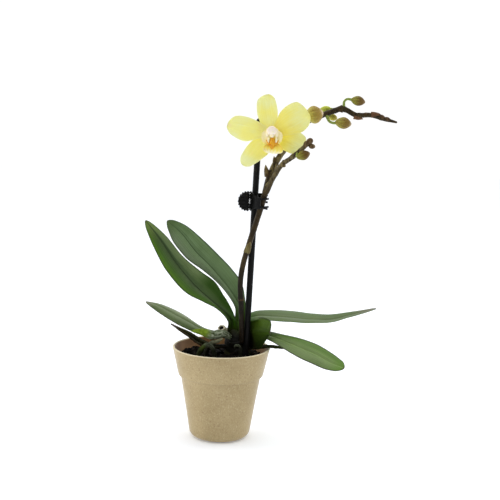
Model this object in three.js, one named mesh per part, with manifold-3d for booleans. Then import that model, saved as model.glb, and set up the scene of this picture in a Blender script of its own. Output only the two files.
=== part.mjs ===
// Potted moth orchid, tied by a small toothed clip to a round support rod.
// Millimetres, +Z up. The origin is the centre of the flat underside of the pot, and -Y is the front.

import * as THREE from 'three';
import { mergeVertices } from 'three/addons/utils/BufferGeometryUtils.js';
import Module from 'manifold-3d';

const wasm = await Module();
wasm.setup();

// ---------------------------------------------------------------- driving dimensions

const GAP = 0.3; // running clearance between neighbouring pieces

const POT = {
  height: 71.5,
  rimRadius: 38,
  collarHeight: 22.5,
  collarFootRadius: 33,
  bodyTopRadius: 31.2,
  baseRadius: 23,
  baseRounding: 3,
  wall: 1.8,
  floor: 2.4,
  sides: 40,
};

const MEDIUM = {
  level: 61,
  top: 67.5, // nothing of it stands higher
  chips: 34,
  chipSize: [13, 9, 5],
  chipReach: 27,
  seed: 7,
};

const STEM = {
  path: [[12, 7, 48], [12, 7, 62], [12, 7, 74], [12.3, 7, 84], [13, 7, 90.5]],
  radii: [5.5, 7, 8, 6.8, 3.6],
  flat: 0.85, // depth along Y as a share of the width
};

const STAKE = {
  radius: 2.25,
  foot: [18.8, 0, 7],
  top: [24.6, 0, 247.5],
};

const LEAF = { thickRib: 1.5, thickEdge: 0.7, rows: 14, columns: 4 };
const TEPAL = { thickRib: 0.9, thickEdge: 0.6, rows: 8, columns: 4 };

// The open flower: places in it are a to the right, b up and c toward the front of its centre.
const FLOWER = {
  centre: [33.9, -27, 238],
  hubRadius: 2.2,
  sepalLayer: -0.8,
  petalLayer: 1.1,
  hubFront: 0.9,
};

const CLIP = {
  axis: [19.2, -2.6], // X and Y of the upright hinge axis
  middle: 185.9, // height of the middle of the clip
  discRadius: 7.8,
  discOffset: -1.7, // the round outline's centre, measured along X from the axis
  scallops: 20,
  scallopDepth: 1,
  plate: 1.3,
  tooth: 1.5,
  knuckleRadius: 1.7,
  pinRadius: 0.6,
};

// ---------------------------------------------------------------- colours: hex value and roughness

const COLOURS = {
  pot: ['#b3a184', 0.85],
  bark: ['#2a1f17', 0.95],
  stem: ['#39401f', 0.7],
  leaf: ['#3c5a2c', 0.45],
  leafPale: ['#6f8a58', 0.5],
  oldLeaf: ['#35281f', 0.7],
  root: ['#9ba287', 0.8],
  rootCream: ['#d8cfae', 0.8],
  spike: ['#3b2f26', 0.6],
  bud: ['#8f9a4a', 0.6],
  petal: ['#f0ea8c', 0.6],
  lip: ['#f6ecdc', 0.6],
  black: ['#121214', 0.35],
  steel: ['#9a9a9a', 0.3],
};

const group = new THREE.Group();
group.name = 'potted_orchid';

function material(key) {
  const [color, roughness] = COLOURS[key];
  return new THREE.MeshStandardMaterial({ color, roughness, metalness: key === 'steel' ? 1 : 0 });
}

function addPiece(name, geometry, colour) {
  const mesh = new THREE.Mesh(geometry, material(colour));
  mesh.name = name;
  group.add(mesh);
}

// ---------------------------------------------------------------- solids

function bare(geometry) {
  const copy = geometry.clone();
  for (const name of Object.keys(copy.attributes)) {
    if (name !== 'position') copy.deleteAttribute(name);
  }
  return mergeVertices(copy, 1e-4);
}

function toSolid(geometry) {
  const merged = bare(geometry);
  return new wasm.Manifold(new wasm.Mesh({
    numProp: 3,
    vertProperties: new Float32Array(merged.attributes.position.array),
    triVerts: new Uint32Array(merged.index.array),
  }));
}

/** The largest body of a solid, as a geometry. */
function toGeometry(solid) {
  const whole = solid.decompose().sort((a, b) => b.volume() - a.volume())[0];
  const mesh = whole.getMesh();
  const geometry = new THREE.BufferGeometry();
  geometry.setAttribute('position', new THREE.BufferAttribute(new Float32Array(mesh.vertProperties), 3));
  geometry.setIndex(new THREE.BufferAttribute(new Uint32Array(mesh.triVerts), 1));
  return geometry;
}

function fuse(geometries) {
  return geometries.map(toSolid).reduce((sum, next) => sum.add(next));
}

// ---------------------------------------------------------------- curves and forms

function point(list) {
  return new THREE.Vector3(...list);
}

function curveThrough(points) {
  return new THREE.CatmullRomCurve3(points.map(point), false, 'catmullrom');
}

/** The value at t, from 0 to 1, along a list of evenly spaced values. */
function along(values, t) {
  const place = Math.min(Math.max(t, 0), 1) * (values.length - 1);
  const low = Math.min(Math.floor(place), values.length - 2);
  return values[low] + (values[low + 1] - values[low]) * (place - low);
}

/** A solid strand through the points, with a radius for each, grown by extra all round and at its ends. */
function strand(points, radii, { sides = 8, steps = 3 * (points.length - 1), extra = 0, flat = 1 } = {}) {
  const path = curveThrough(points);
  const frames = path.computeFrenetFrames(steps, false);
  const geometry = bare(new THREE.CylinderGeometry(1, 1, 1, sides, steps));
  const places = geometry.attributes.position;
  for (let i = 0; i < places.count; i++) {
    const row = Math.round((0.5 - places.getY(i)) * steps);
    const radius = along(radii, path.getUtoTmapping(row / steps)) + extra;
    const offset = new THREE.Vector3()
      .addScaledVector(frames.normals[row], places.getX(i) * radius)
      .addScaledVector(frames.binormals[row], places.getZ(i) * radius);
    offset.y *= flat;
    if (row === 0) offset.addScaledVector(frames.tangents[row], -extra);
    if (row === steps) offset.addScaledVector(frames.tangents[row], extra);
    const at = path.getPointAt(row / steps).add(offset);
    places.setXYZ(i, at.x, at.y, at.z);
  }
  return geometry;
}

/** An egg along the line from base to tip: a lathe form with a blunt base and a short beak. */
function egg(base, tip, width, { sides = 9, rings = 7, beak = 0.12 } = {}) {
  const start = point(base);
  const axis = point(tip).sub(start);
  const length = axis.length();
  const outline = [new THREE.Vector2(0, 0)];
  for (let i = 1; i < rings; i++) {
    const t = i / rings;
    const round = Math.sin(Math.PI * t ** 0.85);
    outline.push(new THREE.Vector2((width / 2) * Math.max(round, beak), t * length));
  }
  outline.push(new THREE.Vector2(0, length));
  const geometry = new THREE.LatheGeometry(outline, sides);
  const turn = new THREE.Quaternion().setFromUnitVectors(new THREE.Vector3(0, 1, 0), axis.normalize());
  return geometry.applyQuaternion(turn).translate(...base);
}

/** A closed sheet around a grid of points, with a thickness for each column. */
function sheet(grid, thickness) {
  const rows = grid.length;
  const columns = grid[0].length;
  const step = (i, j) => grid[Math.min(Math.max(i, 0), rows - 1)][Math.min(Math.max(j, 0), columns - 1)];
  const places = [];
  for (const face of [0.5, -0.5]) {
    for (let i = 0; i < rows; i++) {
      for (let j = 0; j < columns; j++) {
        const forward = step(i + 1, j).clone().sub(step(i - 1, j));
        const across = step(i, j + 1).clone().sub(step(i, j - 1));
        const normal = forward.cross(across).normalize();
        const at = grid[i][j].clone().addScaledVector(normal, face * thickness(j / (columns - 1)));
        places.push(at.x, at.y, at.z);
      }
    }
  }
  const top = (i, j) => i * columns + j;
  const under = (i, j) => (rows + i) * columns + j;
  const faces = [];
  for (let i = 0; i < rows - 1; i++) {
    for (let j = 0; j < columns - 1; j++) {
      faces.push(top(i, j), top(i + 1, j), top(i + 1, j + 1), top(i, j), top(i + 1, j + 1), top(i, j + 1));
      faces.push(under(i, j), under(i + 1, j + 1), under(i + 1, j), under(i, j), under(i, j + 1), under(i + 1, j + 1));
    }
  }
  const rim = [];
  for (let j = 0; j < columns - 1; j++) rim.push([0, j]);
  for (let i = 0; i < rows - 1; i++) rim.push([i, columns - 1]);
  for (let j = columns - 1; j > 0; j--) rim.push([rows - 1, j]);
  for (let i = rows - 1; i > 0; i--) rim.push([i, 0]);
  rim.forEach((here, k) => {
    const next = rim[(k + 1) % rim.length];
    faces.push(top(...here), top(...next), under(...next), top(...here), under(...next), under(...here));
  });
  const geometry = new THREE.BufferGeometry();
  geometry.setAttribute('position', new THREE.Float32BufferAttribute(places, 3));
  geometry.setIndex(faces);
  return geometry;
}

/**
 * A blade along a spine. The direction across it and its fold are lists that run from its base to its tip,
 * and far and near are its half-widths along and against that direction, one for each point of the spine.
 */
function blade({ spine, across, far, near = far, fold }, { thickRib, thickEdge, rows, columns }) {
  const path = curveThrough(spine);
  const widths = curveThrough(far.map((half, i) => [half, near[i], 0]));
  const narrowest = 0.7;
  const grid = [];
  for (let i = 0; i <= rows; i++) {
    const t = 1 - (1 - i / rows) ** 1.15;
    const middle = path.getPoint(t);
    const forward = path.getTangent(t);
    const width = widths.getPoint(t);
    const side = new THREE.Vector3(...[0, 1, 2].map((k) => along(across.map((a) => a[k]), t)));
    side.addScaledVector(forward, -side.dot(forward)).normalize();
    const up = forward.clone().cross(side).normalize();
    const row = [];
    for (let j = 0; j <= columns; j++) {
      const s = (2 * j) / columns - 1;
      const half = Math.max(s > 0 ? width.x : width.y, narrowest);
      const lift = half * along(fold, t) * Math.abs(s) ** 1.3;
      row.push(middle.clone().addScaledVector(side, s * half).addScaledVector(up, lift));
    }
    grid.push(row);
  }
  return sheet(grid, (share) => thickRib + (thickEdge - thickRib) * (2 * share - 1) ** 2);
}

/** The same draws in the same order each time. */
function seededDraws(seed) {
  let state = seed >>> 0;
  return () => {
    state = (state + 0x6d2b79f5) >>> 0;
    let t = state;
    t = Math.imul(t ^ (t >>> 15), t | 1);
    t ^= t + Math.imul(t ^ (t >>> 7), t | 61);
    return ((t ^ (t >>> 14)) >>> 0) / 4294967296;
  };
}

// ---------------------------------------------------------------- pot and growing medium

/** A solid turned about the Z axis from an outline of radius and height. */
function latheZ(outline, sides) {
  const geometry = new THREE.LatheGeometry(outline.map(([r, z]) => new THREE.Vector2(r, z)), sides);
  return geometry.rotateX(Math.PI / 2);
}

/** The inside of the pot's wall, from the floor up. */
function potWallLine() {
  const foot = POT.height - POT.collarHeight;
  return [
    [POT.baseRadius - POT.wall, POT.floor],
    [POT.bodyTopRadius - POT.wall, foot - 1],
    [POT.collarFootRadius - POT.wall, foot + 1.5],
    [POT.rimRadius - POT.wall, POT.height - 0.6],
  ];
}

function pot() {
  const foot = POT.height - POT.collarHeight;
  const bodySlope = (POT.bodyTopRadius - POT.baseRadius) / foot;
  const outline = [[0, 0]];
  for (let i = 0; i <= 3; i++) {
    const turn = (i / 3) * (Math.PI / 2);
    const z = POT.baseRounding * (1 - Math.cos(turn));
    outline.push([POT.baseRadius - POT.baseRounding * (1 - Math.sin(turn)) + bodySlope * z, z]);
  }
  outline.push(
    [POT.bodyTopRadius, foot],
    [POT.collarFootRadius, foot + 0.5],
    [POT.rimRadius, POT.height - 0.8],
    [POT.rimRadius - 0.5, POT.height],
    [POT.rimRadius - POT.wall + 0.5, POT.height],
    ...potWallLine().reverse(),
    [0, POT.floor],
  );
  return latheZ(outline, POT.sides);
}

/** What fills the pot: a plug, bark chips on it, and plain holes for all that stands in it. */
function growingMedium(standing) {
  const wallLine = potWallLine().map(([r, z]) => [r - GAP - 0.25, z]);
  const [wallFoot, wallTop] = wallLine.slice(2);
  const slope = (wallTop[0] - wallFoot[0]) / (wallTop[1] - wallFoot[1]);
  const lower = [[0, POT.floor + GAP], [wallLine[0][0], POT.floor + GAP], wallLine[1], wallFoot];
  const filledTo = (z) => toSolid(latheZ([...lower, [wallFoot[0] + slope * (z - wallFoot[1]), z], [0, z]], POT.sides));
  const draw = seededDraws(MEDIUM.seed);
  const goldenAngle = Math.PI * (3 - Math.sqrt(5));
  let bark = filledTo(MEDIUM.level);
  for (let i = 0; i < MEDIUM.chips; i++) {
    const reach = MEDIUM.chipReach * Math.sqrt((i + 0.5) / MEDIUM.chips);
    const size = MEDIUM.chipSize.map((s) => s * (0.65 + 0.7 * draw()));
    const chip = new THREE.BoxGeometry(...size)
      .rotateX((draw() - 0.5) * 0.9)
      .rotateY((draw() - 0.5) * 0.9)
      .rotateZ(draw() * Math.PI)
      .translate(reach * Math.cos(i * goldenAngle), reach * Math.sin(i * goldenAngle), MEDIUM.level + 0.4 + 2.2 * draw());
    bark = bark.add(toSolid(chip));
  }
  bark = bark.intersect(filledTo(MEDIUM.top));
  for (const piece of standing) bark = bark.subtract(toSolid(piece));
  return toGeometry(bark);
}

// ---------------------------------------------------------------- stem, leaves and roots

function stem(extra) {
  return strand(STEM.path, STEM.radii, { sides: 14, steps: 9, extra, flat: STEM.flat });
}

const LEAVES = {
  leaf_upper_left_front: {
    colour: 'leaf',
    spine: [
      [8.4, 1.4, 85.2], [6.9, -3.2, 94], [-1.5, -7, 103], [-12.5, -10, 113],
      [-24, -13, 124.5], [-36, -16, 139.5], [-47.5, -19, 156.5], [-58.5, -21, 171],
    ],
    across: [[1, -0.2, 0.25], [0.55, 0.75, 0.4], [0.6, 0.5, 0.6], [0.75, 0.1, 0.65]],
    far: [4, 3.6, 8.2, 12.9, 10.8, 7.1, 5.3, 0.8],
    near: [4, 3.3, 2.8, 6.4, 10.7, 10.6, 7.3, 0.7],
    fold: [-0.3, -0.25, -0.12, -0.1],
  },
  leaf_upper_left_back: {
    colour: 'leafPale',
    spine: [
      [14, 5.4, 91.2], [13, 7, 102.5], [6, 9.5, 113.5], [-2.5, 12, 123.5],
      [-12.5, 14, 134], [-23, 16, 144], [-34.5, 18, 157.5], [-45.5, 19, 166.5],
    ],
    across: [[1, 0.3, 0.2], [0.75, 0.55, 0.45], [0.6, 0.5, 0.6], [0.7, 0.2, 0.65]],
    far: [4.6, 5.2, 10.8, 11.8, 11.3, 10.8, 6.5, 0.7],
    near: [4.6, 4.5, 4.2, 5.1, 7.7, 10.1, 9.1, 0.7],
    fold: [-0.3, -0.2, -0.12, -0.1],
  },
  leaf_low_left: {
    colour: 'leafPale',
    spine: [
      [3.8, 6.6, 77.5], [-4.5, 9, 79.5], [-15, 13, 81], [-26, 17, 85.5],
      [-35.5, 21, 89.5], [-45, 25, 93.5], [-54, 28, 97], [-62.5, 31, 99],
    ],
    across: [[0.15, 1, 0.1], [0.4, 0.9, 0.18], [0.45, 0.87, 0.18]],
    far: [3.4, 4.2, 5.8, 7.2, 7.6, 6.8, 4.6, 0.7],
    near: [3.4, 5, 7.4, 9.2, 9.7, 8.6, 5.6, 0.7],
    fold: [0.05, 0.08, 0.08],
  },
  leaf_old_left: {
    colour: 'oldLeaf',
    spine: [
      [4.1, 5.6, 70.3], [-3, 4, 70], [-8, 2, 70.4], [-13, -0.5, 72],
      [-19.5, -3.5, 76], [-25.5, -6.5, 81.5], [-32.5, -9.5, 86.5], [-39, -12.5, 91],
    ],
    across: [[0.3, 1, 0.2], [0.3, 0.8, 0.5], [0.3, 0.5, 0.6]],
    far: [2.4, 2.6, 3, 3.6, 3.6, 2.6, 1.3, 0.7],
    near: [2.2, 2, 2.2, 2.8, 3, 2.4, 1.4, 0.7],
    fold: [-0.3, -0.3, -0.2],
  },
  leaf_right_high: {
    colour: 'leaf',
    spine: [
      [17.9, 7.4, 88.6], [28, 8.2, 93.8], [41.5, 9.5, 94], [55.5, 10.5, 92.5],
      [70.5, 11, 92.5], [85.5, 12, 93], [102, 13, 97], [119, 14, 100.5],
    ],
    across: [[0, 1, 0.15], [0, 1, 0.02], [0, 1, -0.02], [0, 1, 0.05]],
    far: [3, 6.4, 11.8, 14.5, 12, 9.3, 4.5, 0.7],
    near: [2.6, 4.4, 10.4, 12.8, 12.6, 10.6, 6, 0.7],
    fold: [0.3, 0.15, 0.2, 0.3, 0.25],
  },
  leaf_right_low: {
    colour: 'leafPale',
    spine: [
      [21.2, 9, 77.2], [31.5, 4.5, 80.3], [41.5, -6, 80.5], [51.5, -14, 78.5],
      [61, -22, 76.5], [71.5, -30, 74], [82, -38, 70], [92, -45, 68],
    ],
    across: [[0.3, 0.95, 0.1], [0.5, 0.8, 0.3], [0.45, 0.75, 0.45], [0.5, 0.7, 0.5]],
    far: [3.2, 4.6, 5.9, 8.5, 9.5, 8.9, 8, 0.9],
    near: [2.6, 3.8, 5.9, 8.4, 10.3, 10.7, 7.1, 2.1],
    fold: [0.2, 0.15, 0.12, 0.1],
  },
  leaf_short_front: {
    colour: 'leaf',
    spine: [[20.3, 5.6, 83], [25, 1, 84], [28.5, -4.5, 85.5], [31.5, -10.5, 86.5], [34.5, -16.5, 87.5], [37, -22.5, 88.5]],
    across: [[0.1, 0.1, 1], [0, 0.1, 1]],
    far: [4.6, 8.4, 8.9, 8.7, 7.4, 1.8],
    near: [2.4, 11, 10.6, 7.9, 3.8, 0.7],
    fold: [-0.1, -0.25, -0.3],
  },
  leaf_old_right: {
    colour: 'oldLeaf',
    spine: [[20.9, 7.4, 68.9], [26, 3, 70.2], [31, -1, 72], [36.5, -5, 73.3], [42, -8, 73.9], [48, -11, 74.2], [54, -13.5, 74.2]],
    across: [[0.3, 1, 0.1], [0.4, 0.9, 0]],
    far: [2, 3, 3.4, 3.4, 3, 2.2, 0.7],
    near: [2, 2.4, 3, 3, 2.6, 2, 0.7],
    fold: [0.1, 0.1],
  },
};

const ROOTS = {
  root_silver_left: {
    colour: 'root',
    path: [
      [6.2, 1.7, 79], [1.5, -2.4, 81.8], [-2.5, -5.5, 82.3], [-7.5, -8.5, 82],
      [-12.5, -11, 84.3], [-18, -12, 85.5], [-23.2, -13, 86],
    ],
    radii: [2.4, 3, 3.5, 3.5, 3.1, 2, 0.5],
  },
  root_cream_tip: {
    colour: 'rootCream',
    path: [[-13, -5, 57], [-11.8, -7.5, 67], [-8.2, -10, 75.4], [-3.4, -11.6, 78.5], [1, -12.2, 80.4]],
    radii: [1.7, 1.8, 1.8, 1.7, 0.8],
  },
  root_diving: {
    colour: 'root',
    path: [
      [-4, -13.5, 57], [-4.6, -14.6, 67], [-7, -15, 75], [-10.8, -15.2, 77.3],
      [-14, -15.6, 75.2], [-17.4, -16, 70.5], [-21, -16.8, 57],
    ],
    radii: [1.7, 1.8, 1.8, 1.9, 1.9, 1.9, 1.6],
  },
  root_curled: {
    colour: 'rootCream',
    path: [[8.6, -0.4, 74.5], [10, -5.2, 77], [11.6, -9, 77], [11.4, -11, 74], [13, -11.2, 70], [14.5, -10.6, 57]],
    radii: [1.4, 1.6, 1.7, 1.7, 1.7, 1.5],
  },
};

const STUB = {
  path: [[3.7, 6.5, 82.5], [0.8, 4.6, 85.2], [-0.5, 2.6, 88]],
  radii: [2.2, 2.7, 3.1],
  bore: 1.8,
  boreDepth: 3,
};

/** A root cut short: a strand with a blind bore in its open end. */
function cutStub() {
  const end = point(STUB.path[2]);
  const inward = point(STUB.path[1]).sub(end).normalize();
  const outside = end.clone().addScaledVector(inward, -1);
  const bottom = end.clone().addScaledVector(inward, STUB.boreDepth);
  const bore = strand([outside.toArray(), bottom.toArray()], [STUB.bore, STUB.bore], { steps: 1 });
  return toGeometry(toSolid(strand(STUB.path, STUB.radii)).subtract(toSolid(bore)));
}

// ---------------------------------------------------------------- flower stalk and buds

const SPIKE = {
  path: [
    [15.6, -1.8, 76], [15.2, -4.2, 92], [14.4, -5.1, 107], [13.5, -5.8, 122], [15, -6, 136.5],
    [19.5, -6, 154], [24.5, -6, 171], [29.2, -6, 187.5], [32.6, -6, 202], [36.7, -5.5, 213.5],
    [43.2, -4.5, 225], [54, -3, 241.5], [62, -2, 248.3], [71.5, 0, 252.2], [81.5, 1.5, 256],
    [86, 2, 257.5], [90.5, 2, 256.5], [98, 2, 253], [109, 2.5, 253.3], [120, 3, 250.5], [128.5, 3, 248.5],
  ],
  radii: [2.4, 2.3, 2.2, 2.1, 2.1, 2.1, 2.2, 2.2, 2.6, 2.3, 2.2, 2.1, 2.1, 2.2, 2, 2.3, 2, 1.9, 1.8, 1.6, 0.8],
  steps: 54,
};

const BRANCH = {
  path: [
    [31.6, -7, 193.5], [34, -9.5, 200], [36.5, -11.5, 205.5], [42, -16.5, 215],
    [48.5, -22, 220.5], [55.5, -27.5, 227], [61.5, -31, 233.5],
  ],
  radii: [1.9, 1.9, 1.8, 1.8, 1.7, 1.7, 1.5],
};

// Each bract sits at a node of the stalk: its middle, the way its point goes, its length and its width.
const BRACTS = [
  { at: [14, -5.4, 110], to: [-0.1, -0.2, 1], length: 7, width: 5 },
  { at: [18.8, -6.6, 152], to: [-0.1, -0.2, 1], length: 10, width: 5 },
  { at: [32.8, -8.4, 199], to: [0.3, -0.4, 0.9], length: 7, width: 5.4 },
  { at: [31, -6.6, 210], to: [-0.35, 0, 1], length: 9, width: 3 },
  { at: [36.6, -5.2, 217.6], to: [-0.3, 0, 1], length: 7, width: 3 },
  { at: [42.6, -17.6, 216.6], to: [0.1, -0.2, 1], length: 5, width: 3.4 },
  { at: [86, 2, 258.6], to: [0.1, 0, 1], length: 4.6, width: 4.6 },
  { at: [100.5, 2, 251.2], to: [1, 0, -0.25], length: 7, width: 3 },
  { at: [116.5, 3, 253], to: [1, 0, -0.2], length: 7, width: 4 },
  { at: [121.6, 3, 251], to: [1, 0, -0.3], length: 5, width: 3.6 },
  { at: [62.4, -31.2, 234.4], to: [0.7, 0, 0.6], length: 6.4, width: 3.8 },
  { at: [63, -30.4, 230.6], to: [1, 0, -0.1], length: 5, width: 3.6 },
];

function bract({ at, to, length, width }) {
  const turn = new THREE.Quaternion().setFromUnitVectors(new THREE.Vector3(0, 1, 0), point(to).normalize());
  return new THREE.SphereGeometry(0.5, 6, 5).scale(width, length, width).applyQuaternion(turn).translate(...at);
}

function flowerSpike() {
  const stalk = strand(SPIKE.path, SPIKE.radii, { steps: SPIKE.steps });
  const branch = strand(BRANCH.path, BRANCH.radii);
  return toGeometry(fuse([stalk, branch, ...BRACTS.map(bract)]));
}

const BUDS = {
  bud_beside_flower: {
    stalk: [[54.8, -6.2, 242.2], [55.8, -9.4, 245.5], [57.4, -11.6, 249], [60.5, -12.2, 251]],
    base: [58.4, -12.2, 250.4], tip: [71.8, -12, 254.6], width: 13.2, stalkRadius: 1.1,
  },
  bud_over_rachis: {
    stalk: [[88.1, 2, 260.8], [88.3, 2, 263], [90.6, 2, 264.9], [94.6, 2, 264.4]],
    base: [93, 2, 264.6], tip: [104.2, 2, 262.8], width: 7.4, stalkRadius: 0.9,
  },
  bud_under_rachis: {
    stalk: [[75.4, -1.3, 251.2], [77.2, -3.2, 248], [80.4, -4, 246.8], [83.6, -4.6, 247.2]],
    base: [81.2, -4.3, 247.6], tip: [93.8, -5.4, 246.2], width: 8.8, stalkRadius: 1,
  },
  bud_pale_small: {
    stalk: [[77.6, 3.2, 253.3], [77.4, 5, 251.8], [78.4, 5.6, 250.4]],
    base: [76.6, 5.6, 251.6], tip: [84, 5.8, 250], width: 4.8, stalkRadius: 0.8,
  },
  bud_behind_rachis: {
    stalk: [[81.4, 4, 256.5], [80.6, 6.2, 257], [78.4, 7, 257]],
    base: [79.6, 6.9, 257], tip: [70.8, 7.2, 256.8], width: 4.4, stalkRadius: 0.9,
  },
  bud_on_branch: {
    stalk: [[53, -28.2, 224], [52.4, -30.6, 222.6], [53.4, -32, 222.2]],
    base: [52.2, -31.8, 221.4], tip: [62, -32, 225.2], width: 7, stalkRadius: 0.8,
  },
};

function bud({ stalk, base, tip, width, stalkRadius }) {
  const neck = strand(stalk, stalk.map(() => stalkRadius), { sides: 6 });
  return toGeometry(fuse([neck, egg(base, tip, width)]));
}

// ---------------------------------------------------------------- open flower

function inFlower([a, b, c]) {
  const [x, y, z] = FLOWER.centre;
  return [x + a, y - c, z + b];
}

const DEGREE = Math.PI / 180;
const FOLDS = { sepal: [0, 0.02, 0.08, 0.12], petal: [0, -0.03, -0.08, -0.1] };

/** A sepal or petal: it leaves the hub at an angle, and leans and bows to the front or back. */
function tepal({ angle, length, layer, lean, bow, ...form }) {
  const start = FLOWER.hubRadius + GAP + 0.1;
  const out = [Math.cos(angle * DEGREE), Math.sin(angle * DEGREE)];
  const last = form.far.length - 1;
  const spine = form.far.map((half, i) => {
    const reach = start + (length - start) * (i / last);
    return inFlower([out[0] * reach, out[1] * reach, layer + (lean * i) / last + bow * Math.sin((Math.PI * i) / last)]);
  });
  const side = [-out[1], 0, out[0]];
  return blade({ spine, across: [side, side], ...form }, TEPAL);
}

const TEPALS = {
  sepal_dorsal: {
    angle: 99, length: 28.9, layer: FLOWER.sepalLayer, lean: 1, bow: 0.8, fold: FOLDS.sepal,
    far: [2.4, 5.7, 7.8, 8.8, 8.5, 6.6, 1],
    near: [2.2, 3.6, 5.1, 6.1, 5.9, 4.4, 0.7],
  },
  sepal_lateral_left: {
    angle: 227.7, length: 31.7, layer: FLOWER.sepalLayer, lean: -2, bow: 0.8, fold: FOLDS.sepal,
    far: [2.2, 6, 8, 7.6, 6.8, 4.6, 0.7],
    near: [2.4, 5.1, 6.8, 7.1, 6.4, 4.5, 1],
  },
  sepal_lateral_right: {
    angle: 336.7, length: 26.6, layer: FLOWER.sepalLayer, lean: -7.5, bow: 0.3, fold: FOLDS.sepal,
    far: [2.4, 5.7, 7.6, 9.1, 9.4, 8.2, 3.9],
    near: [2.2, 5.1, 6.8, 7.2, 7.1, 4.8, 0.7],
  },
  petal_left: {
    angle: 169.6, length: 33.2, layer: FLOWER.petalLayer, lean: 1.5, bow: 1.6, fold: FOLDS.petal,
    far: [1.7, 3.3, 6.8, 9.2, 8.3, 5.2, 0.7],
    near: [1.4, 3.8, 6.4, 8, 8.1, 6.7, 0.7],
  },
  petal_right: {
    angle: 29.7, length: 30.8, layer: FLOWER.petalLayer, lean: 0.5, bow: 1.4, fold: FOLDS.petal,
    far: [1.5, 6.1, 10.4, 12.6, 12.9, 11.8, 7.6],
    near: [2, 4.5, 6.7, 8.5, 8.8, 6.3, 0.7],
  },
};

// The lip's middle lobe hangs down in front, its two wings stand up beside the column, and a callus joins them.
const LIP = {
  middle: {
    spine: [[0.2, -3, 1.9], [0.3, -5.2, 3.4], [0.5, -8, 5.2], [0.8, -10.8, 6.6], [1.2, -13, 7], [1.5, -15, 6.2]],
    far: [1.4, 1.8, 2.6, 3.8, 4.6, 1.6],
    fold: [0.2, 0.35],
  },
  wing: {
    spine: [[1.4, -4.6, 3.2], [3.6, -5.6, 4.4], [5.9, -4.6, 5.6], [7, -1.6, 6.3], [6.6, 1.8, 6.4], [5.4, 4, 6]],
    far: [1.8, 2.6, 3.3, 3.4, 2.8, 1.2],
    fold: [0.25, 0.25],
  },
  callus: { centre: [0.4, -7.4, 5.6], size: [3.4, 3.2, 8] },
};

const COLUMN = {
  path: [[0, 0, 1.5], [0, 0.05, 2.8], [0.1, 1.2, 5], [0.2, 2.2, 7.2]],
  radii: [1.8, 1.9, 2.5, 1.7],
};

function lip() {
  const thin = { ...TEPAL, rows: 7, columns: 4 };
  const lobe = (form, mirror, across) => blade({
    ...form,
    spine: form.spine.map(([a, b, c]) => inFlower([mirror * a, b, c])),
    across,
  }, thin);
  const middle = lobe(LIP.middle, 1, [[1, 0, 0], [1, 0, 0.1]]);
  const wings = [1, -1].map((mirror) => lobe(LIP.wing, mirror, [[0, -1, 0.2], [-0.3 * mirror, -1, 0]]));
  const callus = new THREE.SphereGeometry(0.5, 8, 6)
    .scale(...LIP.callus.size)
    .translate(...inFlower(LIP.callus.centre));
  return toGeometry(fuse([middle, ...wings, callus]));
}

function flowerStalk() {
  const path = [
    [46.2, -7.9, 233.6],
    [43.6, -13, 236.5],
    [38.4, -19.6, 238.6],
    inFlower([0.3, 0.2, -3.4]),
    inFlower([0, 0, FLOWER.hubFront]),
  ];
  return strand(path, [1.4, 1.4, 1.5, 2, FLOWER.hubRadius]);
}

// ---------------------------------------------------------------- stake and clip

function stake(extra) {
  return strand([STAKE.foot, STAKE.top], [STAKE.radius, STAKE.radius], { sides: 14, steps: 1, extra });
}

/** A band of even thickness along points in the clip's plane, drawn as a closed shape. */
function bandShape(points, thickness) {
  const path = new THREE.SplineCurve(points.map(([u, w]) => new THREE.Vector2(u, w)));
  const steps = 2 * (points.length - 1);
  const left = [];
  const right = [];
  for (let i = 0; i <= steps; i++) {
    const at = path.getPoint(i / steps);
    const forward = path.getTangent(i / steps);
    const half = thickness(i / steps) / 2;
    left.push(new THREE.Vector2(at.x - forward.y * half, at.y + forward.x * half));
    right.push(new THREE.Vector2(at.x + forward.y * half, at.y - forward.x * half));
  }
  return new THREE.Shape([...left, ...right.reverse()]);
}

/**
 * A shape drawn in the clip's plane, u along X and w toward the front from the hinge axis, made solid
 * over a span of heights. The mirror that takes w to the front turns the faces inside out, so they are
 * turned back.
 */
function clipSolid(shape, low, high) {
  const geometry = bare(new THREE.ExtrudeGeometry(shape, { depth: high - low, bevelEnabled: false, curveSegments: 12 })
    .scale(1, -1, 1)
    .translate(CLIP.axis[0], CLIP.axis[1], CLIP.middle + low));
  const index = geometry.index.array;
  for (let i = 0; i < index.length; i += 3) [index[i], index[i + 1]] = [index[i + 1], index[i]];
  return toSolid(geometry);
}

function discShape(radius) {
  return new THREE.Shape().absarc(0, 0, radius, 0, 2 * Math.PI, false);
}

/** The round scalloped outline that both halves share, as a long bar along Y. */
function scallopedBar() {
  const rim = [];
  const steps = CLIP.scallops * 2;
  for (let i = 0; i < steps; i++) {
    const turn = (2 * Math.PI * i) / steps;
    const radius = CLIP.discRadius - (i % 2) * CLIP.scallopDepth;
    rim.push(new THREE.Vector2(radius * Math.cos(turn), radius * Math.sin(turn)));
  }
  const length = 40;
  return toSolid(new THREE.ExtrudeGeometry(new THREE.Shape(rim), { depth: length, bevelEnabled: false })
    .rotateX(Math.PI / 2)
    .translate(CLIP.axis[0] + CLIP.discOffset, CLIP.axis[1] + length / 2, CLIP.middle));
}

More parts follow.
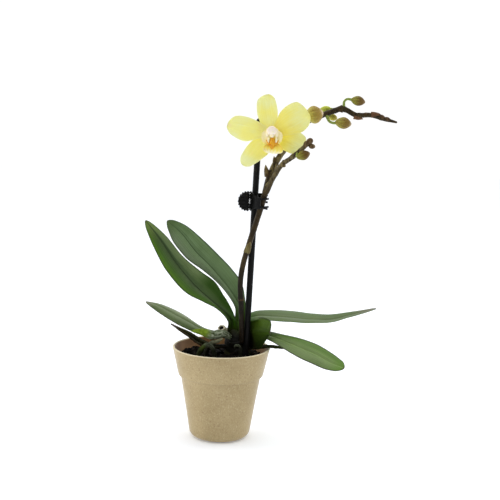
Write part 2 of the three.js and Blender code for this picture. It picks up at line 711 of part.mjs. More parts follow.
// Bands are points in the clip's plane. Teeth are heights from the middle, and palmSpan and knuckles are
// spans of height from it. A palm carries its half's claws out beyond the round outline.
const JAWS = {
  front: {
    handle: [[-1.1, 1.4], [-3, 2.5], [-6, 4], [-9.6, 5.4]],
    jaw: [[0.6, 1.5], [2.2, 3.3], [4.6, 5.6], [7.4, 6.7]],
    palm: [[3.2, 4.3], [4.4, 5.6], [6, 6.8], [8, 7.8]],
    palmSpan: [-5.2, 3.6],
    claw: [[6, 6.8], [9, 8.1], [12.2, 6.6], [14, 3.4]],
    teeth: [2.5, -3.6],
    knuckles: [[1.9, 3.4], [-3.4, -1.9]],
  },
  back: {
    handle: [[-1.1, -1.4], [-3, -2.5], [-6, -4], [-9.6, -5.4]],
    jaw: [[-0.6, -1.5], [-0.4, -4], [1.6, -6], [5, -6.4]],
    palm: [[1.6, -6], [4.4, -6.4], [6.4, -6.4], [8.4, -5.8]],
    palmSpan: [-6.4, 5.8],
    claw: [[4, -6.4], [8, -6], [11.6, -3.4], [13.2, 0.4]],
    teeth: [5, -0.6, -5.6],
    knuckles: [[3.7, 5.2], [-5.2, -3.7]],
  },
};

/** One half of the clip: handle and jaw plates cut to the round outline, palm, claws and knuckles. */
function clipHalf({ handle, jaw, palm, palmSpan, claw, teeth, knuckles }) {
  const reach = CLIP.discRadius + 1;
  const plate = (points, low, high) => clipSolid(bandShape(points, () => CLIP.plate), low, high);
  const knuckleWindow = 5.6;
  let half = plate(handle, -reach, reach)
    .add(plate(jaw, -reach, reach))
    .intersect(scallopedBar())
    .subtract(clipSolid(discShape(CLIP.knuckleRadius + GAP), -knuckleWindow, knuckleWindow))
    .add(plate(palm, ...palmSpan));
  for (const height of teeth) {
    const low = height - CLIP.tooth / 2;
    half = half.add(clipSolid(bandShape(claw, (t) => CLIP.tooth * (1 - 0.45 * t)), low, low + CLIP.tooth));
  }
  for (const [low, high] of knuckles) {
    half = half
      .add(clipSolid(discShape(CLIP.knuckleRadius), low, high))
      .add(plate(handle.slice(0, 2), low, high))
      .add(plate(jaw.slice(0, 2), low, high));
  }
  return half.subtract(clipSolid(discShape(CLIP.pinRadius + GAP), -reach, reach));
}

/** A row of ridges on the front handle, for the finger. */
function gripRidges() {
  const pitch = 2.5;
  const ridges = [-2, -1, 0, 1, 2].map((i) => (
    clipSolid(bandShape([[-8.6, 6], [-3.6, 3.6]], () => 0.9), pitch * i - 0.4, pitch * i + 0.4)
  ));
  return ridges.reduce((sum, next) => sum.add(next)).intersect(scallopedBar());
}

function clipPin() {
  const end = 6.1;
  const head = clipSolid(discShape(CLIP.pinRadius + 0.6), end - 0.6, end);
  const foot = clipSolid(discShape(CLIP.pinRadius + 0.6), -end, -end + 0.6);
  return clipSolid(discShape(CLIP.pinRadius), -end + 0.3, end - 0.3).add(head).add(foot);
}

/** The coil round the pin, drawn as a grooved sleeve, with the leg that presses the back handle. */
function clipSpring() {
  const [inner, valley, crest] = [0.95, 1.3, 1.6];
  const halfLength = 1.5;
  const turns = 4;
  const outline = [[inner, -halfLength]];
  for (let i = 0; i <= 2 * turns; i++) {
    outline.push([i % 2 ? crest : valley, halfLength * (i / turns - 1)]);
  }
  outline.push([inner, halfLength], [inner, -halfLength]);
  const coil = toSolid(latheZ(outline, 12).translate(CLIP.axis[0], CLIP.axis[1], CLIP.middle));
  const leg = clipSolid(bandShape([[-1.2, -0.3], [-3, -0.7], [-5.4, -1.7]], () => 0.6), -1.4, -0.8);
  return coil.add(leg);
}

// ---------------------------------------------------------------- assembly

addPiece('pot', pot(), 'pot');

const rootsInMedium = ['root_cream_tip', 'root_diving', 'root_curled'];
const holes = [
  stem(GAP),
  stake(GAP),
  ...rootsInMedium.map((name) => strand(ROOTS[name].path, ROOTS[name].radii, { extra: GAP })),
];
addPiece('growing_medium', growingMedium(holes), 'bark');
addPiece('stem_base', stem(0), 'stem');

for (const [name, { colour, ...form }] of Object.entries(LEAVES)) addPiece(name, blade(form, LEAF), colour);
for (const [name, { colour, path, radii }] of Object.entries(ROOTS)) addPiece(name, strand(path, radii), colour);
addPiece('root_cut_stub', cutStub(), 'rootCream');

addPiece('flower_spike', flowerSpike(), 'spike');
for (const [name, form] of Object.entries(BUDS)) addPiece(name, bud(form), 'bud');

addPiece('flower_pedicel', flowerStalk(), 'bud');
for (const [name, form] of Object.entries(TEPALS)) addPiece(name, tepal(form), 'petal');
addPiece('lip', lip(), 'lip');
addPiece('column', strand(COLUMN.path.map(inFlower), COLUMN.radii), 'lip');

addPiece('stake', stake(0), 'black');
addPiece('clip_back', toGeometry(clipHalf(JAWS.back)), 'black');
addPiece('clip_front', toGeometry(clipHalf(JAWS.front).add(gripRidges())), 'black');
addPiece('clip_pin', toGeometry(clipPin()), 'steel');
addPiece('clip_spring', toGeometry(clipSpring()), 'steel');

export default group;
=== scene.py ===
"""Looks of a potted moth orchid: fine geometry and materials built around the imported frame.

Shapes are worked out in millimetres in the frame's own axes, and become metres when a mesh is made.
The front of the object is toward -Y.
"""

import math
import random

import bmesh
import bpy
import numpy as np
from mathutils import Matrix, Vector, noise


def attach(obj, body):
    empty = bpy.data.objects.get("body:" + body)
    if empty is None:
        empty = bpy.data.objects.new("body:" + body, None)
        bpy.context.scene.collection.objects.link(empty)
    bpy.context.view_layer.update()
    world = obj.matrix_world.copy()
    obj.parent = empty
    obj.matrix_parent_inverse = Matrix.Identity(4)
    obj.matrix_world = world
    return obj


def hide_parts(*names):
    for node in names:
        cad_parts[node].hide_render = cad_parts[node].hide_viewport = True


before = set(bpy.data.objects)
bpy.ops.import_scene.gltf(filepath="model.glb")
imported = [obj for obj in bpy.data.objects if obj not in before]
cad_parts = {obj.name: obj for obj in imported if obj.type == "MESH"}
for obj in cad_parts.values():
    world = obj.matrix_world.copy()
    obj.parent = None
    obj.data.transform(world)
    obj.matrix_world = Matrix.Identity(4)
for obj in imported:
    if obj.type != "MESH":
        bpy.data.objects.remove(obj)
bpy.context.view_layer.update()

MM = 0.001
PLANT = "plant"
CLIP_JAW = "clip_jaw"

# ---------------------------------------------------------------- node trees


def tone(red, green, blue):
    """A display colour, with parts of 0 to 255, as a linear one."""
    return tuple(((c / 255 + 0.055) / 1.055) ** 2.4 if c > 10 else c / 3295 for c in (red, green, blue))


def scaled(colour, factor):
    return tuple(min(c * factor, 1) for c in colour)


class Nodes:
    """A node tree, with short calls for the nodes that it is built from."""

    def __init__(self, tree):
        self.tree = tree

    def feed(self, socket, value):
        """Gives a socket a number, a vector, a linear colour or the output of another node."""
        if isinstance(value, tuple):
            socket.default_value = (*value, 1) if socket.type == "RGBA" else value
        elif isinstance(value, (int, float)):
            socket.default_value = value
        else:
            self.tree.links.new(value, socket)

    def node(self, kind, inputs=(), **settings):
        """A new node with its settings, and its inputs by name or number."""
        made = self.tree.nodes.new("ShaderNode" + kind)
        for name, value in settings.items():
            setattr(made, name, value)
        for key, value in dict(inputs).items():
            self.feed(made.inputs[key], value)
        return made

    def maths(self, operation, *values, clamp=False):
        return self.node("Math", enumerate(values), operation=operation, use_clamp=clamp).outputs[0]

    def times(self, first, second):
        return self.maths("MULTIPLY", first, second)

    def ranged(self, value, low, high, to_low=0, to_high=1):
        """The value taken smoothly from low..high to to_low..to_high, and held at its ends."""
        ends = {"Value": value, "From Min": low, "From Max": high, "To Min": to_low, "To Max": to_high}
        return self.node("MapRange", ends, interpolation_type="SMOOTHSTEP").outputs["Result"]

    def mix(self, share, first, second, mode="MIX"):
        """The first colour, with this share of the second."""
        ends = {0: share, 6: first, 7: second}
        return self.node("Mix", ends, data_type="RGBA", blend_type=mode).outputs[2]

    def value(self, name):
        """The value that the mesh keeps under this name at each point."""
        return self.node("Attribute", attribute_name=name).outputs["Fac"]

    def place(self, stretch=(1, 1, 1)):
        """The place in the frame's axes, in metres before it is stretched."""
        at = self.node("TexCoord").outputs["Object"]
        return self.node("Mapping", {"Vector": at, "Scale": stretch}).outputs["Vector"]

    def height(self):
        """The height in millimetres over the pot's underside."""
        return self.node("SeparateXYZ", {0: self.place((1000, 1000, 1000))}).outputs["Z"]

    def noise(self, scale, detail, roughness=0.55, stretch=(1, 1, 1), vector=None):
        at = self.place(stretch) if vector is None else vector
        inputs = {"Vector": at, "Scale": scale, "Detail": detail, "Roughness": roughness}
        return self.node("TexNoise", inputs).outputs["Fac"]

    def streaks(self, first, first_times, second, second_times, detail, roughness=0.55):
        """Noise over two of the mesh's values, drawn out along the one that is multiplied less."""
        ways = {0: self.times(first, first_times), 1: self.times(second, second_times)}
        return self.noise(1, detail, roughness, vector=self.node("CombineXYZ", ways).outputs[0])

    def cells(self, scale):
        """The distance to the nearest of scattered points, and a random number for each."""
        made = self.node("TexVoronoi", {"Vector": self.place(), "Scale": scale})
        return made.outputs["Distance"], self.node("SeparateColor", {0: made.outputs["Color"]}).outputs[0]


class Look(Nodes):
    """A material, and the colour that is laid down in it coat by coat."""

    def __init__(self, name, roughness, specular=0.5):
        self.material = bpy.data.materials.new(name)
        self.material.use_nodes = True
        super().__init__(self.material.node_tree)
        self.shader = self.tree.nodes["Principled BSDF"]
        self.adjust({"Roughness": roughness, "Specular IOR Level": specular})

    def adjust(self, inputs):
        for name, value in inputs.items():
            self.feed(self.shader.inputs[name], value)

    def between(self, share, low, high, first, second):
        """One colour where the share is at low, and another where it is at high."""
        return self.mix(self.ranged(share, low, high), first, second)

    def lay(self, colour, share, low=None, high=None, most=1, mode="MIX"):
        """Lays a colour on by its share, or from none where the share is at low to most of it at high."""
        amount = share if low is None else self.ranged(share, low, high, 0, most)
        self.colour = self.mix(amount, self.colour, colour, mode)

    def bump(self, height, distance_mm, strength):
        """Bump of the height, on top of any bump that there is."""
        made = self.node("Bump", {"Strength": strength, "Distance": distance_mm * MM, "Height": height})
        normal = self.shader.inputs["Normal"]
        if normal.is_linked:
            self.feed(made.inputs["Normal"], normal.links[0].from_socket)
        self.feed(normal, made.outputs["Normal"])

    def done(self):
        self.adjust({"Base Color": self.colour})
        return self.material


# ---------------------------------------------------------------- camera and studio

CAMERA_AT = (20.2, -800, 263.2)  # mm
CAMERA_PITCH = math.radians(8.2)  # down from level
CAMERA_ROLL = math.radians(1.61)
FOCAL_PIXELS = 1050
IMAGE_PIXELS = 500
SENSOR_MM = 36

# Area lights: where each is and what it faces, in metres, its width and height, and its watts.
LIGHTS = {
    "overhead": ((0.1, 0.15, 1.3), (0.02, 0, 0.1), (1.4, 1.4), 5),
    "left_front": ((-0.9, -0.9, 0.8), (0.02, 0, 0.15), (0.7, 0.9), 2.2),
    "right_back": ((0.9, 0.6, 0.6), (0.02, 0, 0.15), (0.6, 0.8), 2.5),
    "left_side": ((-1.2, 0.15, 0.25), (0, 0, 0.04), (0.8, 0.6), 2.8),
    "right_side": ((1.2, 0.15, 0.25), (0, 0, 0.04), (0.8, 0.6), 1.2),
}

# Strength of the studio's walls: from front to back, and what the top and the left add.
WORLD_DEPTH = (0.2, 0.95)
WORLD_TOP_EXTRA = 0.2
WORLD_LEFT_EXTRA = 0.12
BACKDROP = 1.05  # strength of the plain white that the camera sees

FLOOR = {"size": 6, "drop": 0.0002, "colour": (0.9, 0.93, 0.98), "glow": 0.185}
WHITE = (1, 1, 1)


def added(name, data):
    made = bpy.data.objects.new(name, data)
    bpy.context.scene.collection.objects.link(made)
    return made


def make_camera():
    data = bpy.data.cameras.new("camera")
    data.sensor_width = SENSOR_MM
    data.lens = FOCAL_PIXELS / IMAGE_PIXELS * SENSOR_MM
    data.clip_start = 0.05
    data.clip_end = 20
    camera = added("camera", data)
    forward = Vector((0, math.cos(CAMERA_PITCH), -math.sin(CAMERA_PITCH)))
    right = Vector((1, 0, 0))
    up = right.cross(forward)
    turned_right = right * math.cos(CAMERA_ROLL) + up * math.sin(CAMERA_ROLL)
    turned_up = up * math.cos(CAMERA_ROLL) - right * math.sin(CAMERA_ROLL)
    turn = Matrix((turned_right, turned_up, -forward)).transposed().to_4x4()
    camera.matrix_world = Matrix.Translation(Vector(CAMERA_AT) * MM) @ turn
    bpy.context.scene.camera = camera


def make_lights():
    for name, (at, toward, size, watts) in LIGHTS.items():
        data = bpy.data.lights.new(name, "AREA")
        data.shape = "RECTANGLE"
        data.size, data.size_y = size
        data.energy = watts
        light = added(name, data)
        light.location = at
        light.rotation_euler = (Vector(toward) - Vector(at)).to_track_quat("-Z", "Y").to_euler()


def make_world():
    """A white studio: bright behind, above and at the left, and darker toward the front."""
    world = bpy.data.worlds.new("studio")
    bpy.context.scene.world = world
    world.use_nodes = True
    nodes = Nodes(world.node_tree)
    nodes.tree.nodes.clear()
    way = nodes.node("SeparateXYZ", {0: nodes.node("TexCoord").outputs["Generated"]}).outputs
    depth = nodes.ranged(way["Y"], -0.95, 0.15, *WORLD_DEPTH)
    top = nodes.ranged(way["Z"], 0.35, 1, 0, WORLD_TOP_EXTRA)
    left = nodes.ranged(way["X"], 0.3, -0.9, 0, WORLD_LEFT_EXTRA)
    strength = nodes.maths("ADD", nodes.maths("ADD", depth, top), left)
    studio = nodes.node("Background", {"Color": WHITE, "Strength": strength})
    backdrop = nodes.node("Background", {"Color": WHITE, "Strength": BACKDROP})
    seen = nodes.node("LightPath").outputs["Is Camera Ray"]
    chosen = nodes.node("MixShader", {0: seen, 1: studio.outputs[0], 2: backdrop.outputs[0]})
    nodes.node("OutputWorld", {"Surface": chosen.outputs[0]})


def make_floor():
    bpy.ops.mesh.primitive_plane_add(size=FLOOR["size"], location=(0, 0, -FLOOR["drop"]))
    floor = bpy.context.object
    floor.name = "floor"
    look = Look("pale_floor", 0.8, 0.1)
    look.adjust({"Base Color": FLOOR["colour"], "Emission Color": WHITE, "Emission Strength": FLOOR["glow"]})
    floor.data.materials.append(look.material)


# ---------------------------------------------------------------- curves and skins


def clipped(values):
    return np.clip(values, 0, 1)


def hill(values, width):
    """1 where a value is 0, and falling away to both sides over this width."""
    return np.exp(-((values / width) ** 2))


def unit(vectors):
    length = np.linalg.norm(vectors, axis=-1, keepdims=True)
    return vectors / np.maximum(length, 1e-9)


def around(count):
    return np.linspace(0, 2 * math.pi, count, endpoint=False)


def spokes(first, second, angle):
    """Directions at an angle from the first of two directions toward the second."""
    return first * np.cos(angle)[..., None] + second * np.sin(angle)[..., None]


def curve(points, shares):
    """Places and unit tangents on a uniform Catmull-Rom curve, at shares from 0 to 1 of its spans."""
    p = np.array(points, float)
    p = np.vstack([2 * p[0] - p[1], p, 2 * p[-1] - p[-2]])
    spans = len(points) - 1
    s = clipped(np.asarray(shares, float)) * spans
    i = np.minimum(s.astype(int), spans - 1)
    f = (s - i)[:, None]
    a, b, c, d = p[i], p[i + 1], p[i + 2], p[i + 3]
    square = 2 * a - 5 * b + 4 * c - d
    cube = 3 * b - a - 3 * c + d
    at = 0.5 * (2 * b + (c - a) * f + square * f**2 + cube * f**3)
    slope = 0.5 * ((c - a) + 2 * square * f + 3 * cube * f**2)
    return at, unit(slope)


def even_shares(points, count):
    """Shares of a curve's spans that cut it into stretches of equal length, and its length."""
    dense = np.linspace(0, 1, 60 * (len(points) - 1) + 1)
    at, _ = curve(points, dense)
    reach = np.concatenate([[0], np.cumsum(np.linalg.norm(np.diff(at, axis=0), axis=1))])
    return np.interp(np.linspace(0, reach[-1], count), reach, dense), reach[-1]


def along_list(values, shares):
    """The values at shares of an evenly spaced list, joined by straight lines."""
    table = np.array(values, float)
    places = np.linspace(0, 1, len(table))
    if table.ndim == 1:
        return np.interp(shares, places, table)
    return np.stack([np.interp(shares, places, column) for column in table.T], axis=1)


def frames_along(tangents):
    """Two directions square to each tangent, which turn no more than they must."""
    start = np.array([0, -1.0, 0]) if abs(tangents[0][1]) < 0.9 else np.array([1.0, 0, 0])
    normals = [unit(start - tangents[0] * start.dot(tangents[0]))]
    for tangent in tangents[1:]:
        normals.append(unit(normals[-1] - tangent * normals[-1].dot(tangent)))
    return np.array(normals), np.cross(tangents, normals)


def across_way(way):
    """Two directions square to a way, the first of them toward the front."""
    front = np.array([0, -1.0, 0])
    out = unit(front - way * front.dot(way))
    return out, np.cross(way, out)


def fractal(points, scale_mm, seed=0.0, octaves=3):
    """Noise from about -1 to 1 at each point, with features of about scale_mm."""
    flat = points.reshape(-1, 3) / scale_mm + seed
    values = [noise.fractal(Vector(p), 1.0, 2.0, octaves) for p in flat]
    return np.array(values).reshape(points.shape[:-1])


def skin(rings, values):
    """A closed skin through rings of points, with the values kept at each point, as one part."""
    rows, sides, _ = rings.shape
    points = rings.reshape(-1, 3)
    index = np.arange(rows * sides).reshape(rows, sides)
    beside = np.roll(index, -1, axis=1)
    faces = np.stack([index[:-1], beside[:-1], beside[1:], index[1:]], axis=-1).reshape(-1, 4).tolist()
    kept = {name: np.broadcast_to(v, (rows, sides)).reshape(-1) for name, v in values.items()}
    for row in (0, rows - 1):
        centre = len(points)
        points = np.vstack([points, rings[row].mean(axis=0)])
        kept = {name: np.append(v, v[index[row, 0]]) for name, v in kept.items()}
        faces += [[a, b, centre] for a, b in zip(index[row].tolist(), beside[row].tolist())]
    return {"points": points, "faces": faces, "values": kept}


def tube(points, radii, sides, step_mm, relief=None, flat_y=1.0, values={}):
    """A strand with round ends. relief(share, angle, places) is added to its radius, in mm.

    Each of the values is a number, or a rule for the shares of the strand's length.
    """
    _, length = even_shares(points, 2)
    shares, _ = even_shares(points, max(int(length / step_mm), 6) + 1)
    at, tangent = curve(points, shares)
    radius = along_list(radii, shares)
    caps = np.array([0.97, 0.82, 0.55, 0.2])  # radii of the rings that round an end
    out = 0.9 * np.sqrt(1 - caps**2)[:, None]
    at = np.vstack([at[0] - tangent[0] * radius[0] * out[::-1], at, at[-1] + tangent[-1] * radius[-1] * out])
    ends = [np.repeat(tangent[k:k + 1], len(caps), axis=0) for k in (0, len(shares) - 1)]
    tangent = np.vstack([ends[0], tangent, ends[1]])
    radius = np.concatenate([radius[0] * caps[::-1], radius, radius[-1] * caps])
    shares = np.concatenate([np.zeros(len(caps)), shares, np.ones(len(caps))])
    normal, binormal = frames_along(tangent)
    angle = around(sides)
    spoke = spokes(normal[:, None], binormal[:, None], angle[None, :])
    reach = np.repeat(radius[:, None], sides, axis=1)
    if relief:
        share = np.repeat(shares[:, None], sides, axis=1)
        fade = np.minimum(radius / radius.max() * 1.4, 1)[:, None]
        reach = reach + relief(share, angle[None, :], at[:, None] + spoke * reach[..., None]) * fade
    offset = spoke * reach[..., None]
    offset[..., 1] *= flat_y
    kept = {"along": shares[:, None], "across": (angle / math.pi - 1)[None, :]}
    for name, v in values.items():
        kept[name] = v(shares)[:, None] if callable(v) else v
    return skin(at[:, None] + offset, kept)


def face_outward(mesh, weld=False):
    """Turns every face outward, once points that meet are welded if they should be."""
    work = bmesh.new()
    work.from_mesh(mesh)
    if weld:
        bmesh.ops.remove_doubles(work, verts=work.verts, dist=0.01 * MM)
    bmesh.ops.recalc_face_normals(work, faces=work.faces)
    work.to_mesh(mesh)
    work.free()


def placed(made, material, node, body=PLANT):
    """Gives an object its material. It stands for the node and rides on the body."""
    made.data.materials.clear()
    made.data.materials.append(material)
    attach(made, body)
    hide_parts(node)


def piece(name, parts, material, node):
    """One object from several parts, in place of the node."""
    points, faces, names = [], [], sorted({n for part in parts for n in part["values"]})
    values = {n: [] for n in names}
    for part in parts:
        offset = sum(len(p) for p in points)
        points.append(part["points"])
        faces += [[i + offset for i in face] for face in part["faces"]]
        for n in names:
            values[n].append(part["values"].get(n, np.zeros(len(part["points"]))))
    mesh = bpy.data.meshes.new(name)
    mesh.from_pydata((np.vstack(points) * MM).tolist(), [], faces)
    for n in names:
        layer = mesh.attributes.new(n, "FLOAT", "POINT")
        layer.data.foreach_set("value", np.concatenate(values[n]).astype(np.float32))
    face_outward(mesh)
    mesh.shade_smooth()
    made = added(name, mesh)
    placed(made, material, node)
    return made


# ---------------------------------------------------------------- blades: leaves, sepals and petals


def blade_surface(form, rows, columns):
    """A blade's middle surface and its measures.

    Its spine runs from base to tip, and across is the way toward its far margin at places along it. far
    and near are its half-widths, and fold is how much it lifts at its margins, by the power crease. From
    blunt on its tip rounds off.
    """
    shares = 1 - (1 - np.linspace(0, 1, rows + 1)) ** 1.25
    middle, forward = curve(form["spine"], shares)
    near = form.get("near", form["far"])
    widths, _ = curve([(f, n, 0) for f, n in zip(form["far"], near)], shares)
    side = along_list(form["across"], shares)
    side = unit(side - forward * (side * forward).sum(axis=1, keepdims=True))
    up = np.cross(forward, side)
    across = np.linspace(-1, 1, columns + 1)
    narrowest = 0.3
    half = np.where(across[None, :] > 0, widths[:, :1], widths[:, 1:2])
    blunt = form.get("blunt", 0.985)
    tip = clipped((shares - blunt) / (1 - blunt))
    half = np.maximum(half, narrowest) * np.sqrt(1 - 0.96 * tip**2)[:, None]
    fold = along_list(form["fold"], shares)[:, None]
    reach = across[None, :] * half
    lift = half * fold * np.abs(across[None, :]) ** form.get("crease", 1.3)
    surface = middle[:, None] + side[:, None] * reach[..., None] + up[:, None] * lift[..., None]
    return {"surface": surface, "reach": reach, "shares": shares, "across": across}


def surface_normals(surface):
    return unit(np.cross(np.gradient(surface, axis=0), np.gradient(surface, axis=1)))


def raised(surface, amount):
    """The surface, lifted along its normals."""
    return surface + surface_normals(surface) * amount[..., None]


def thickened(surface, thickness, shares, across, top_relief=0.0, under_relief=0.0, values={}):
    """A closed blade round its middle surface, with reliefs added to its two faces, all in mm."""
    normals = surface_normals(surface)
    grid = surface.shape[:2]
    top = surface + normals * np.broadcast_to(thickness / 2 + top_relief, grid)[..., None]
    under = surface - normals * np.broadcast_to(thickness / 2 + under_relief, grid)[..., None]
    kept = {
        "along": shares[:, None],
        "across": np.concatenate([across, across[::-1]])[None, :],
        "side": np.repeat([1.0, 0.0], grid[1])[None, :],
    }
    for name, v in values.items():
        kept[name] = np.concatenate([v, v[:, ::-1]], axis=1) if np.ndim(v) == 2 else v
    return skin(np.concatenate([top, under[:, ::-1]], axis=1), kept)


# ---------------------------------------------------------------- pot

POT = {
    "height": 71.5, "rim": 38, "collar": 22.5, "collar_foot": 33,
    "body_top": 31.2, "base": 23, "rounding": 5, "wall": 1.8, "floor": 2.4, "sides": 144,
}
AXIS = 0.01  # radius of the rings that close a turned form, mm

POT_DARK = tone(167, 147, 105)
POT_LIGHT = tone(179, 159, 117)
POT_SPECK_DARK = tone(145, 120, 82)
POT_SPECK_PALE = tone(212, 200, 166)
POT_HUSK = tone(136, 106, 72)
POT_INSIDE_SHADE = tone(138, 98, 60)
POT_INSIDE_SHADE_PALE = tone(168, 126, 84)
POT_LIP = tone(224, 212, 178)
POT_SEAM_AND_FOOT_SHADE = tone(96, 82, 58)


def arc(centre, radius, start, stop, count):
    """Points of radius and height on an arc between two angles in degrees."""
    turns = np.radians(np.linspace(start, stop, count))
    return [(centre[0] + radius * math.cos(t), centre[1] + radius * math.sin(t)) for t in turns]


def slope_points(base, slope, heights):
    return [(base + slope * z, z) for z in heights]


def pot_outline():
    """Radius and height along the pot's section: up the outside, over the rim and down the inside."""
    p = POT
    foot = p["height"] - p["collar"]
    rounding = p["rounding"]
    slope = (p["body_top"] - p["base"]) / foot
    outline = [(AXIS, 0.6), (p["base"] - 8, 0.6), (p["base"] - 7.2, 0.05)]
    for turn in np.linspace(0, math.pi / 2, 12):
        z = rounding * (1 - math.cos(turn))
        outline.append((p["base"] - rounding * (1 - math.sin(turn)) + slope * z, z))
    body = rounding + (foot - 0.7 - rounding) * np.linspace(0.08, 1, 24)
    outline += slope_points(p["base"], slope, body)
    outline += arc((p["body_top"] + 0.45, foot - 0.15), 0.5, 200, 130, 4)
    outline += arc((p["collar_foot"] - 0.9, foot + 1.0), 0.9, -80, -5, 6)
    slope = (p["rim"] - p["collar_foot"]) / p["collar"]
    collar = foot + 1 + (p["collar"] - 2) * np.linspace(0.06, 0.95, 14)
    outline += slope_points(p["collar_foot"] - slope * foot, slope, collar)
    wall = p["wall"]
    middle = p["rim"] - wall / 2
    outline += arc((middle, p["height"] - 0.9), wall / 2, 8, 172, 10)
    outline += [(middle - wall / 2, p["height"] - 1.4), (p["collar_foot"] - wall, foot + 1.5)]
    outline += [(p["body_top"] - wall, foot - 1), (p["base"] - wall, p["floor"]), (AXIS, p["floor"])]
    return outline


def turned(outline, sides):
    """Rings of a skin turned about the Z axis."""
    angle = around(sides)
    r, z = np.array(outline).T
    flat = np.broadcast_to(z[:, None], (len(z), sides))
    return np.stack([r[:, None] * np.cos(angle), r[:, None] * np.sin(angle), flat], axis=-1)


def pot_material():
    look = Look("plant_fibre_composite", 0.62, 0.4)
    cloud = look.noise(38, 4)
    look.colour = look.between(cloud, 0.3, 0.7, POT_DARK, POT_LIGHT)
    fibre = look.noise(1150, 3, 0.7, stretch=(1, 1, 0.6))
    look.lay(POT_SPECK_DARK, fibre, 0.52, 0.7, 0.6)
    look.lay(POT_SPECK_PALE, fibre, 0.45, 0.3, 0.5)
    distance, chance = look.cells(330)
    husk = look.times(look.ranged(distance, 0.26, 0.14), look.ranged(chance, 0.72, 0.8))
    look.lay(POT_HUSK, look.times(husk, 0.5))
    # The inside is painted darker and redder: painted shade, warmed by light through and off the wall.
    look.lay(look.between(cloud, 0.35, 0.65, POT_INSIDE_SHADE, POT_INSIDE_SHADE_PALE), look.value("inside"))
    look.lay(POT_LIP, look.value("lip"))
    # Painted shade: a faint dark line at the seam under the collar's step, and a darker foot where the pot
    # meets the floor.
    look.lay(POT_SEAM_AND_FOOT_SHADE, look.value("foot"))
    look.adjust({"Sheen Weight": 0.6, "Sheen Roughness": 0.3})
    look.bump(fibre, 0.06, 0.6)
    look.bump(look.noise(120, 2), 0.25, 0.25)
    return look.done()


def make_pot():
    """The pot, with its inside, its pale lip, and its seam and underside marked for the material, which
    paints shade on the inside, the seam and the foot.
    """
    outline = pot_outline()
    z = np.array(outline)[:, 1]
    top = int(z.argmax())
    index = np.arange(len(outline))
    inside = np.where(index > top + 3, 1.0, 0.0)
    lip = np.where((z > POT["height"] - 0.75) & (index <= top + 4), 0.75, 0.0)
    # The seam under the collar's step and the foot get painted shade.
    seam = np.abs(z - (POT["height"] - POT["collar"])) < 0.6
    foot = np.where(seam, 0.12, np.where(z < 0.7, 0.5, 0.0)) * (index < top)
    values = {"inside": inside[:, None], "lip": lip[:, None], "foot": foot[:, None]}
    piece("pot_moulded", [skin(turned(outline, POT["sides"]), values)], pot_material(), "pot")


# ---------------------------------------------------------------- growing medium

BARK = {"level": 61, "chips": 260, "reach": 33.6, "inside": 33.3, "sides": 48, "cuts": 5, "seed": 11}
BARK_BED = [(AXIS, 6), (20, 6), (27.8, 46), (31.4, 52), (33.4, 60.5), (20, 60.5), (AXIS, 60.5)]
CHIP_LENGTH, CHIP_WIDTH, CHIP_HEIGHT = (4.5, 10), (3, 7), (1.6, 3.6)
CHIP_TILT = 0.6  # at most, in radians


def bark_material():
    look = Look("bark", 0.85, 0.08)
    grain = look.noise(420, 5, 0.65, stretch=(1, 1, 3))
    look.colour = look.mix(look.value("tone"), (0.0015, 0.0014, 0.0012), (0.012, 0.008, 0.005))
    look.lay((0.028, 0.018, 0.011), grain, 0.55, 0.8, 0.6)
    look.lay((0.008, 0.012, 0.003), look.noise(160, 3), 0.62, 0.72, 0.5)
    look.bump(grain, 0.6, 0.8)
    return look.done()


def bark_chip(centre, size, turn, seed, shade):
    """A weathered flake of bark: a block with its corners worn and its faces split along the grain."""
    cuts = BARK["cuts"]
    u, v = np.meshgrid(*[np.linspace(-1, 1, cuts)] * 2, indexing="ij")
    cube = np.zeros((6, cuts, cuts, 3))
    for face in range(6):
        axis, end = face // 2, face % 2
        cube[face, ..., axis] = 2 * end - 1
        cube[face, ..., (axis + 1) % 3] = u if end else v
        cube[face, ..., (axis + 2) % 3] = v if end else u
    worn = cube / (1 + 0.28 * (np.linalg.norm(cube, axis=-1, keepdims=True) - 1))
    local = worn * np.array(size) / 2
    split = fractal(local * np.array([0.5, 1, 2.2]), 2.6, seed)
    local = local * (1 + 0.22 * split[..., None])
    local[..., 2] += 0.35 * fractal(local, 1.3, seed + 7, 2)
    points = local.reshape(-1, 3) @ np.array(turn).T + centre
    index = np.arange(len(points)).reshape(6, cuts, cuts)
    quads = [index[:, :-1, :-1], index[:, 1:, :-1], index[:, 1:, 1:], index[:, :-1, 1:]]
    faces = np.stack(quads, axis=-1).reshape(-1, 4).tolist()
    return {"points": points, "faces": faces, "values": {"tone": np.full(len(points), shade)}}


def make_bark():
    """Chips spread evenly over the pot's mouth, on a bed that fills it."""
    draw = random.Random(BARK["seed"])
    golden_angle = math.pi * (3 - math.sqrt(5))
    parts = []
    for i in range(BARK["chips"]):
        reach = BARK["reach"] * math.sqrt((i + 0.5) / BARK["chips"])
        angle = i * golden_angle
        size = [draw.uniform(*ends) for ends in (CHIP_LENGTH, CHIP_WIDTH, CHIP_HEIGHT)]
        kept = reach * min(1.0, (BARK["inside"] - 0.62 * max(size)) / max(reach, 0.1))
        height = BARK["level"] + draw.uniform(-0.5, 4.2) - (1.2 if reach > 28 else 0)
        turn = Matrix.Rotation(draw.uniform(0, 6.28), 3, "Z")
        for axis in "XY":
            turn = turn @ Matrix.Rotation(draw.uniform(-CHIP_TILT, CHIP_TILT), 3, axis)
        centre = np.array([kept * math.cos(angle), kept * math.sin(angle), height])
        parts.append(bark_chip(centre, size, turn, i * 3.7, draw.random() ** 2))
    parts.append(skin(turned(BARK_BED, BARK["sides"]), {"tone": 0.0}))
    made = piece("bark_chips", parts, bark_material(), "growing_medium")
    face_outward(made.data, weld=True)


# ---------------------------------------------------------------- stem and leaves

